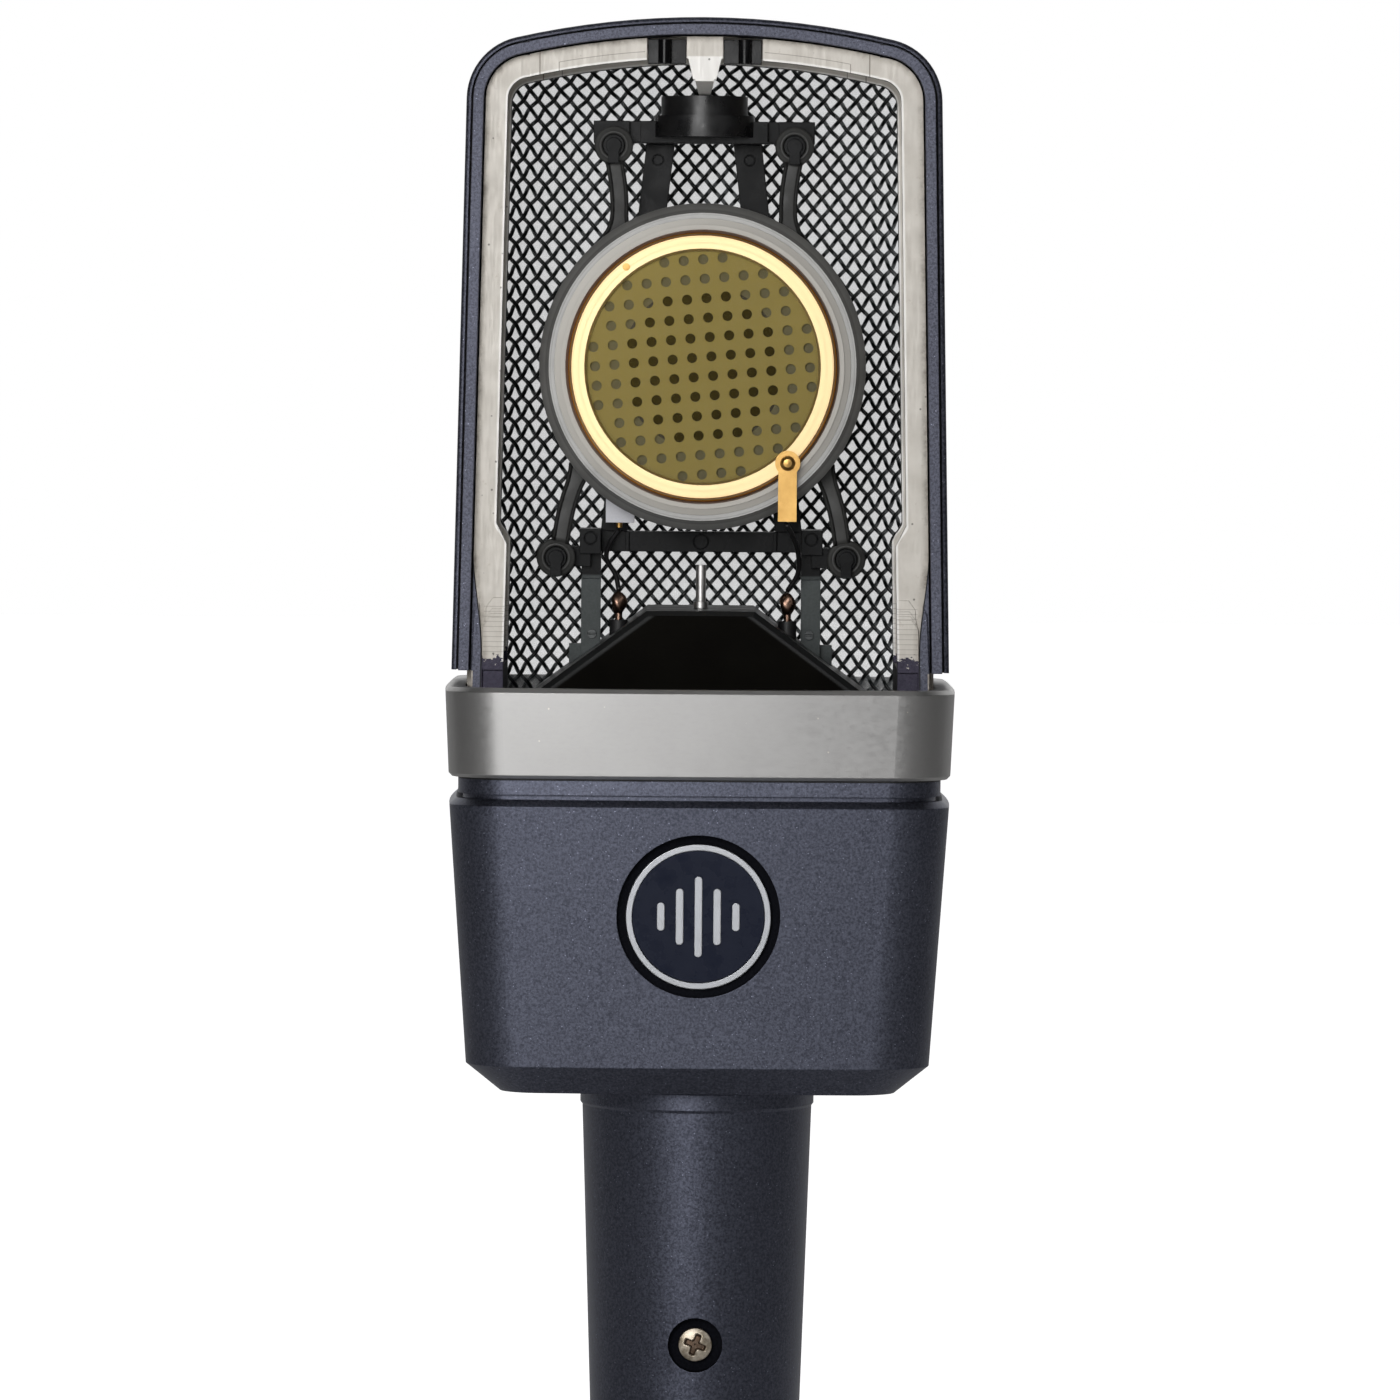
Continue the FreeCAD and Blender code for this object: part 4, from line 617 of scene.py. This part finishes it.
def woven_wires(name, direction, shader):
    """One of the two sets of wires of the coarse grille, waving over and under the other."""
    low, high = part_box("rear_mesh_coarse")
    middle = (low + high) / 2
    sheet = node_bvh("rear_mesh_coarse")

    def drop(x, z):
        return sheet.ray_cast(Vector((x, low.y - 0.01, z)), Vector((0, 1, 0)))

    x_places, x_lengths = arc_length_map(lambda x: drop(x, middle.z)[0], low.x, high.x)
    z_places, z_lengths = arc_length_map(lambda z: drop(middle.x, z)[0], low.z, high.z)
    along = Vector((math.cos(MESH_ANGLE), direction * math.sin(MESH_ANGLE)))
    across = Vector((-direction * math.sin(MESH_ANGLE), math.cos(MESH_ANGLE)))
    step = MESH_PITCH / math.sin(2 * MESH_ANGLE) / MESH_SAMPLES
    reach = 0.65 * (high - low).length
    tubes = TubeMesh()
    rows = int(reach / MESH_PITCH)
    for row in range(-rows, rows + 1):
        run = []
        for index in range(-int(reach / step), int(reach / step) + 1):
            u, v = along * (index * step) + across * (row * MESH_PITCH)
            inside = x_lengths[0] < u < x_lengths[-1] and z_lengths[0] < v < z_lengths[-1]
            x, z = float(np.interp(u, x_lengths, x_places)), float(np.interp(v, z_lengths, z_places))
            point, normal = drop(x, z)[:2] if inside else (None, None)
            if point is None:
                if len(run) > MESH_SAMPLES // 2:
                    tubes.add(run, MESH_WIRE)
                run = []
                continue
            slip = row * math.cos(2 * MESH_ANGLE) * direction * MESH_SAMPLES
            wave = math.cos(math.pi * (index + slip) / MESH_SAMPLES) * (1 if row % 2 == 0 else -1)
            run.append(point + Vector((0, -MESH_LIFT, 0)) + normal * (direction * wave * MESH_WIRE * 0.9))
        if len(run) > MESH_SAMPLES // 2:
            tubes.add(run, MESH_WIRE)
    return mesh_object(name, tubes.points, tubes.faces, shader)


def rear_grille():
    black = moulded_plastic("mesh_enamel", rgb(4, 6, 6), rgb(14, 20, 19), 0.36)
    for name, direction in (("grille_wires_rising", 1), ("grille_wires_falling", -1)):
        piece = woven_wires(name, direction, black)
        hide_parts("rear_mesh_coarse")
    finish_node("rear_mesh_rim", black)
    finish_node("rear_mesh_fine", fine_gauze())


# ---- rubber arms, leads and solder -----------------------------------------
UPPER_PEG = Vector((9.8, 0.0, 146.4))
LOWER_PEG = Vector((15.75, 0.0, 101.7))
ARM_FRONT, ARM_BACK = -1.4, 0.2
LOOP_R, LOOP_BORE = 2.1, 1.21
ARM_HALF = 0.93
ARM_BOW = 0.35                # sideways bow at mid-length
ARM_STOPS = 16
ARM_START = 1.75              # from the peg's axis, inside the loop
BEAD_R = 0.13
RING_R = 16.9                 # where the arms grow out of the rubber ring


def lathe(profile, centre, axis_y=True, sides=48):
    """Points and faces of a turned closed ring; profile pairs are (radius, along), in millimetres."""
    points, faces = [], []
    for step in range(sides):
        angle = 2 * math.pi * step / sides
        for radius, along in profile:
            x, z = radius * math.cos(angle), radius * math.sin(angle)
            offset = Vector((x, along, z)) if axis_y else Vector((x, z, along))
            points.append((centre + offset) * MM)
    count = len(profile)
    for step in range(sides):
        here, after = step * count, (step + 1) % sides * count
        for index in range(count):
            follow = (index + 1) % count
            faces.append((here + index, after + index, after + follow, here + follow))
    return points, faces


def rounded_section(half_width, front, back, radius=0.35, steps=4):
    """Outline of a bar's section with rounded corners, as (across, y) pairs."""
    outline = []
    corners = ((half_width, back, 0), (-half_width, back, 90),
               (-half_width, front, 180), (half_width, front, 270))
    for across, y, start in corners:
        centre_a = across - math.copysign(radius, across)
        centre_y = y - math.copysign(radius, y - (front + back) / 2)
        for step in range(steps + 1):
            angle = math.radians(start + 90 * step / steps)
            outline.append((centre_a + radius * math.cos(angle), centre_y + radius * math.sin(angle)))
    return outline


def swept_bar(path, half_widths, front, back):
    """A bar swept along path points in the XZ plane, with its own half width at each."""
    points, faces = [], []
    rings = len(path)
    for index, here in enumerate(path):
        before, after = path[max(index - 1, 0)], path[min(index + 1, rings - 1)]
        along = (after - before).normalized()
        side = Vector((-along.z, 0, along.x))
        for across, y in rounded_section(half_widths[index], front, back):
            points.append((here + side * across + Vector((0, y, 0))) * MM)
    count = len(points) // rings
    for ring in range(rings - 1):
        for index in range(count):
            follow = (index + 1) % count
            a, b = ring * count + index, ring * count + follow
            faces.append((a, b, b + count, a + count))
    faces.append(tuple(reversed(range(count))))
    faces.append(tuple((rings - 1) * count + index for index in range(count)))
    return points, faces


def joined(parts):
    points, faces = [], []
    for more_points, more_faces in parts:
        first = len(points)
        points += more_points
        faces += [tuple(first + index for index in face) for face in more_faces]
    return points, faces


def rubber_arm(name, peg, ring_x, root_half, shader):
    """One arm: a loop round its peg, a raised bead, a slim bar and a flared root on the capsule's ring."""
    capsule = CAPSULE_CENTRE / MM
    towards = -1 if peg.z > capsule.z else 1
    ring_z = capsule.z - towards * math.sqrt(RING_R ** 2 - ring_x ** 2)
    end = Vector((ring_x, 0, ring_z))
    centre = Vector((peg.x, 0, peg.z))
    way = (end - centre).normalized()
    start = centre + way * ARM_START
    path, widths = [], []
    for index in range(ARM_STOPS + 1):
        share = index / ARM_STOPS
        bow = ARM_BOW * math.sin(math.pi * share) * (1 if peg.x > 0 else -1) * towards
        flare = max(0.0, (share - 0.7) / 0.3) ** 2
        path.append(start.lerp(end, share) + Vector((bow, 0, 0)))
        widths.append(ARM_HALF + (root_half - ARM_HALF) * flare)
    loop = [(LOOP_R, ARM_BACK - 0.3), (LOOP_R - 0.3, ARM_BACK),
            (LOOP_BORE, ARM_BACK), (LOOP_BORE, ARM_FRONT + 0.05),
            (1.3, ARM_FRONT - 0.05), (1.45, ARM_FRONT - 0.14),
            (1.62, ARM_FRONT - 0.05), (1.68, ARM_FRONT + 0.06),
            (LOOP_R - 0.2, ARM_FRONT + 0.06), (LOOP_R, ARM_FRONT + 0.3)]
    parts = [swept_bar(path, widths, ARM_FRONT, ARM_BACK), lathe(loop, centre)]
    for edge in (-1, 1):
        bead_path = []
        for here, half in zip(path, widths):
            bead_path.append(here + Vector((-way.z, 0, way.x)) * edge * (half - 0.16))
        parts.append(swept_bar(bead_path, [BEAD_R] * len(path), ARM_FRONT - 0.1, ARM_FRONT + 0.2))
    points, faces = joined(parts)
    piece = mesh_object(name, points, faces, shader, None)
    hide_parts("suspension_arms")
    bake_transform(piece)
    return piece


def rubber_arms(shader):
    for side, word in ((1, "right"), (-1, "left")):
        upper = Vector((side * UPPER_PEG.x, 0, UPPER_PEG.z))
        lower = Vector((side * LOWER_PEG.x, 0, LOWER_PEG.z))
        rubber_arm("upper_arm_" + word, upper, side * 9.3, 1.6, shader)
        rubber_arm("lower_arm_" + word, lower, side * 13.0, 1.4, shader)


FRONT_LEAD = ((9.2, -6.6, 105.6), (9.9, -5.3, 104.2), (10.5, -3.6, 102.4),
              (10.5, -2.3, 100.2), (9.4, -1.6, 98.3))
REAR_LEAD = ((-8.95, 2.4, 104.7), (-9.9, 1.9, 103.3), (-10.3, 0.9, 101.6),
             (-9.3, -0.1, 99.9), (-8.9, -0.8, 98.2))
LEAD_R = 0.27
SOLDER_PROFILE = ((0.42, 95.7), (0.62, 96.1), (0.8, 96.5), (0.86, 97.0), (0.74, 97.5),
                  (0.5, 97.85), (0.2, 98.05), (0.02, 98.1), (0.02, 96.9), (0.4, 96.9))
SOLDER_SWELL = 0.14


def smooth_path(stops, steps=8):
    """Catmull-Rom line through the stops."""
    stops = [Vector(stop) for stop in stops]
    padded = [stops[0] * 2 - stops[1]] + stops + [stops[-1] * 2 - stops[-2]]
    path = []
    for a, b, c, d in zip(padded, padded[1:], padded[2:], padded[3:]):
        for step in range(steps):
            t = step / steps
            path.append(0.5 * (2 * b + (c - a) * t + (2 * a - 5 * b + 4 * c - d) * t ** 2
                               + (3 * b - a - 3 * c + d) * t ** 3))
    return path + [stops[-1]]


def lead(name, node, stops, shader):
    tube = TubeMesh(10)
    tube.add([point * MM for point in smooth_path(stops)], LEAD_R * MM)
    piece = mesh_object(name, tube.points, tube.faces, shader, None)
    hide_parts(node)
    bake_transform(piece)


def solder_blobs(shader):
    """Uneven drops of solder where the leads meet their posts."""
    rng = random.Random(7)
    parts = []
    for x, y, _ in (FRONT_LEAD[-1], REAR_LEAD[-1]):
        points, faces = lathe(SOLDER_PROFILE, Vector((x, y, 0)), axis_y=False, sides=28)
        phase = rng.random() * 6
        shaped = []
        for point in points:
            out_x, out_y = point.x - x * MM, point.y - y * MM
            wave = math.sin(3 * math.atan2(out_y, out_x) + phase + point.z * 2600)
            swell = 1 + SOLDER_SWELL * wave
            shaped.append(Vector((x * MM + out_x * swell, y * MM + out_y * swell, point.z)))
        parts.append((shaped, faces))
    points, faces = joined(parts)
    piece = mesh_object("solder_blobs", points, faces, shader)
    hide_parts("solder_joints")


# ---- handle screw ----------------------------------------------------------
SCREW_HEAD_R, SCREW_SHANK_R = 1.8, 0.84
SCREW_DOME = 0.28
CROSS_TWIST = 0.35            # radians from upright
CROSS_DEPTH, CROSS_FLOOR = 0.5, 0.75
HEAD_DEPTH = 1.0
CROSS_HALF, CROSS_REACH, CROSS_CORE = 0.34, 1.25, 0.62


def tarnished_brass():
    s = Shader("tarnished_brass")
    place = s.place()
    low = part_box("connector_screw")[0]
    y = s.split(place)[1]
    patina = s.noise(place, 1.1, 5.0, 0.7)
    colour = s.mix(s.ramp(patina, 0.35, 0.65), rgb(150, 138, 120), rgb(206, 196, 180))
    depth = s.ramp(y, low.y / MM + 0.2, low.y / MM + 0.42)
    s.set(Base_Color=s.mix(s.math("MULTIPLY", depth, 0.85), colour, rgb(70, 44, 26)), Metallic=0.85)
    s.set(Roughness=s.ramp(patina, 0.3, 0.7, 0.3, 0.5), Normal=s.bump(patina, 0.00002, 0.4))
    return s


def clamped(value):
    return max(0.0, min(1.0, value))


def handle_screw(shader):
    """Domed screw head with a cross recess whose arms flare out, and its shank."""
    low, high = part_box("connector_screw")
    centre = (low + high) / 2 / MM
    front = low.y / MM
    rings, sides = 26, 96
    points = [Vector((centre.x, front + CROSS_FLOOR, centre.z)) * MM]
    faces = []
    for ring in range(1, rings + 1):
        radius = SCREW_HEAD_R * ring / rings
        for step in range(sides):
            angle = 2 * math.pi * step / sides
            x, z = radius * math.cos(angle), radius * math.sin(angle)
            turned = angle + CROSS_TWIST
            arm = min(abs(math.sin(turned)), abs(math.cos(turned))) * radius
            reach = clamped((CROSS_REACH - radius) / 0.25)
            in_arm = clamped((CROSS_HALF - arm) / 0.10) * reach
            core = clamped((CROSS_CORE - radius) / 0.2)
            dome = SCREW_DOME * (radius / SCREW_HEAD_R) ** 2.6
            y = front + dome + CROSS_DEPTH * max(in_arm, core)
            points.append(Vector((centre.x + x, y, centre.z + z)) * MM)
    for step in range(sides):
        after = (step + 1) % sides
        faces.append((0, 1 + after, 1 + step))
        for ring in range(rings - 1):
            a, b = 1 + ring * sides + step, 1 + ring * sides + after
            faces.append((a, b, b + sides, a + sides))
    rim = 1 + (rings - 1) * sides
    under_head = front + HEAD_DEPTH
    for radius, y in ((SCREW_HEAD_R, under_head), (SCREW_SHANK_R, under_head), (SCREW_SHANK_R, high.y / MM)):
        first = len(points)
        for step in range(sides):
            angle = 2 * math.pi * step / sides
            offset = Vector((radius * math.cos(angle), 0, radius * math.sin(angle)))
            points.append((Vector((centre.x, y, centre.z)) + offset) * MM)
        for step in range(sides):
            after = (step + 1) % sides
            faces.append((rim + step, rim + after, first + after, first + step))
        rim = first
    faces.append(tuple(rim + step for step in range(sides)))
    piece = mesh_object("handle_screw", points, faces, shader)
    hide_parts("connector_screw")


# ---- carried-over nodes ----------------------------------------------------
def finish_nodes():
    body = metallic_paint("body_paint", rgb(60, 62, 72), rgb(100, 103, 117), 0.42, True)
    handle = metallic_paint("handle_paint", rgb(58, 60, 70), rgb(98, 101, 115), 0.38, True)
    frame_plastic = moulded_plastic("frame_plastic", rgb(5, 5, 6), rgb(16, 16, 18), 0.24, gloss=0.2)
    film_holder = moulded_plastic("carrier_black", rgb(3, 3, 6), rgb(9, 10, 16), 0.7)
    legs = frame_finish()
    dark_plastic = moulded_plastic("dark_plastic", rgb(18, 18, 19), rgb(34, 34, 35), 0.5)
    cover = gloss_black("cover_black")
    nickel = satin_nickel("satin_nickel", rgb(152, 151, 150), rgb(176, 175, 174), 0.36, (1.2, 3.0, 3.0))
    silver = satin_nickel("silver_trim", rgb(150, 152, 156), rgb(176, 178, 182), 0.36, (0.8, 0.8, 0.8))
    dull_steel = satin_nickel("dull_steel", rgb(52, 54, 55), rgb(84, 86, 86), 0.42, (3, 3, 3))
    steel = satin_nickel("plated_steel", rgb(150, 150, 150), rgb(196, 196, 194), 0.28, (4, 4, 4))
    bright_gold = gold("gold_plate")
    black_housing = turned_metal("black_housing", rgb(62, 62, 62), rgb(206, 205, 202), 0.46, 0.34,
                                 0.00001, 0.6)
    seat = turned_metal("seat_nickel", rgb(160, 157, 150), rgb(188, 184, 177), 0.48, 0.2, 0.000004, 0.35)
    gold_turned = turned_metal("gold_turned", rgb(212, 186, 136), rgb(242, 222, 176), 0.46, 0.12, 0.000003,
                               1.0, (14.13, 14.22))
    soft = rubber("arm_rubber", rgb(40, 40, 39), rgb(74, 74, 72))
    buffer_soft = rubber("buffer_rubber", rgb(10, 10, 11), rgb(30, 30, 31), 0.34)
    white = moulded_plastic("white_insulator", rgb(206, 206, 214), rgb(236, 236, 240), 0.4)
    solder = satin_nickel("solder", rgb(96, 70, 60), rgb(168, 138, 120), 0.3, (2, 2, 2))
    handle_screw(tarnished_brass())
    sleeve = moulded_plastic("lead_sleeve", rgb(12, 12, 13), rgb(34, 33, 34), 0.35)
    enamel = rubber("badge_enamel", rgb(16, 22, 40), rgb(24, 31, 52), 0.3)
    enamel.set(Specular_IOR_Level=0.14)
    groups = {
        body: ("body_shell",),
        handle: ("handle_tube",),
        hoop_finish(): ("hoop_frame",),
        legs: ("capsule_frame",),
        frame_plastic: ("grille_clip_posts", "pad_switch_knob", "lowcut_switch_knob"),
        film_holder: ("backplate_carrier",),
        dark_plastic: ("post_insulators", "pad_switch_body", "lowcut_switch_body",
                       "connector_insert", "transistors", "electrolytic_capacitors", "collar_gasket"),
        cover_finish(): ("diffuser_cover",),
        cover: ("pad_switch_plate", "lowcut_switch_plate"),
        nickel: ("collar_ring",),
        silver: ("badge_ring", "badge_emblem", "connector_pins"),
        satin_nickel("pin_silver", rgb(190, 188, 186), rgb(232, 230, 228), 0.4, (4, 4, 0.5)): ("centre_pin",),
        dull_steel: ("frame_screws",),
        steel: ("hoop_screws", "capsule_screws", "chassis_frame", "chassis_screws",
                "board_screws", "handle_lock_nut", "ground_lug"),
        bright_gold: ("contact_screw", "contact_strip", "ring_dowel", "rear_contact_strip"),
        black_housing: ("capsule_housing", "capsule_rear_plate", "head_base_plate"),
        seat: ("capsule_seat_ring",),
        gold_turned: ("gold_clamp_ring",),
        gilded_film(): ("diaphragm",),
        lapped_brass(): ("backplate",),
        soft: ("suspension_ring",),
        buffer_soft: ("top_buffer",),
        white: ("rear_terminal_block", "spacer_ring"),
        solder: ("solder_posts",),
        sleeve: ("connector_wires",),
        enamel: ("badge_plate",),
        circuit_green(): ("circuit_board",),
        gold("component_lacquer", 0.4): ("film_capacitors", "resistors"),
    }
    for shader, names in groups.items():
        for name in names:
            finish_node(name, shader)
    rubber_arms(soft)
    lead("front_lead_wire", "front_lead", FRONT_LEAD, sleeve)
    lead("rear_lead_wire", "rear_lead", REAR_LEAD, sleeve)
    solder_blobs(solder)


# ---- camera, light and stage -----------------------------------------------
CAMERA_DISTANCE = 0.95
CAMERA_HEIGHT = 0.125
FRAME_WIDTH = 0.1522          # what the picture spans at the object's middle plane
LOOK_AT = Vector((0.0, 0.0, 0.0863))
LEAN_DEG = 0.44


def camera():
    data = bpy.data.cameras.new("camera")
    data.sensor_width = 36.0
    eye = bpy.data.objects.new("camera", data)
    bpy.context.scene.collection.objects.link(eye)
    eye.location = Vector((0.0, -CAMERA_DISTANCE, CAMERA_HEIGHT))
    aim = LOOK_AT - eye.location
    data.lens = data.sensor_width * aim.length / FRAME_WIDTH
    eye.rotation_mode = "QUATERNION"
    eye.rotation_quaternion = aim.to_track_quat("-Z", "Y") @ Quaternion((0, 0, 1), math.radians(LEAN_DEG))
    data.clip_start, data.clip_end = 0.05, 50.0
    bpy.context.scene.camera = eye


def softbox(name, place, target, width, height, power):
    data = bpy.data.lights.new(name, "AREA")
    data.shape = "RECTANGLE"
    data.size, data.size_y = width, height
    data.energy = power
    lamp = bpy.data.objects.new(name, data)
    bpy.context.scene.collection.objects.link(lamp)
    lamp.location = place
    lamp.rotation_mode = "QUATERNION"
    lamp.rotation_quaternion = (Vector(target) - Vector(place)).to_track_quat("-Z", "Y")


def camera_only(tree, lit, seen):
    """Light rays meet one shader and the camera sees another."""
    path = tree.nodes.new("ShaderNodeLightPath")
    mix = tree.nodes.new("ShaderNodeMixShader")
    tree.links.new(path.outputs["Is Camera Ray"], mix.inputs[0])
    tree.links.new(lit, mix.inputs[1])
    tree.links.new(seen, mix.inputs[2])
    return mix.outputs[0]


def surroundings():
    """White behind the object, dim beside it and in front of it."""
    world = bpy.data.worlds.new("studio")
    bpy.context.scene.world = world
    world.use_nodes = True
    tree = world.node_tree
    tree.nodes.clear()
    coords = tree.nodes.new("ShaderNodeTexCoord")
    split = tree.nodes.new("ShaderNodeSeparateXYZ")
    tree.links.new(coords.outputs["Generated"], split.inputs[0])
    back = tree.nodes.new("ShaderNodeMapRange")
    back.interpolation_type = "SMOOTHSTEP"
    for key, value in (("From Min", 0.25), ("From Max", 0.75), ("To Min", 0.006), ("To Max", 0.85)):
        back.inputs[key].default_value = value
    tree.links.new(split.outputs[1], back.inputs["Value"])
    light = tree.nodes.new("ShaderNodeBackground")
    tree.links.new(back.outputs[0], light.inputs["Strength"])
    seen = tree.nodes.new("ShaderNodeBackground")
    out = tree.nodes.new("ShaderNodeOutputWorld")
    light.inputs["Color"].default_value = seen.inputs["Color"].default_value = (1, 1, 1, 1)
    tree.links.new(camera_only(tree, light.outputs[0], seen.outputs[0]), out.inputs["Surface"])


def floor():
    bpy.ops.mesh.primitive_plane_add(size=6.0, location=(0, 0, cad_low.z))
    plane = bpy.context.object
    plane.name = "studio_floor"
    s = Shader("studio_floor")
    s.set(Base_Color=s.mix(s.noise(s.place(), 0.002), rgb(240, 240, 240), rgb(248, 248, 248)), Roughness=0.8)
    glow = s.node("ShaderNodeEmission", {"Strength": 0.86})
    lifted = s.node("ShaderNodeAddShader", {0: s.surface.outputs[0], 1: glow.outputs[0]})
    s.put(s.output.inputs["Surface"], camera_only(s.tree, s.surface.outputs[0], lifted.outputs[0]))
    plane.data.materials.append(s.material)


def studio():
    middle = (0, 0, 0.09)
    softbox("key_left", (-0.17, -0.78, 0.27), middle, 0.38, 0.34, 3.2)
    softbox("fill_right", (0.50, -0.70, 0.40), middle, 0.3, 0.3, 0.3)
    softbox("top", (0.0, 0.05, 0.9), middle, 0.7, 0.5, 0.5)
    surroundings()
    floor()


finish_nodes()
rear_grille()
camera()
studio()
bpy.context.scene.view_settings.view_transform = "Standard"
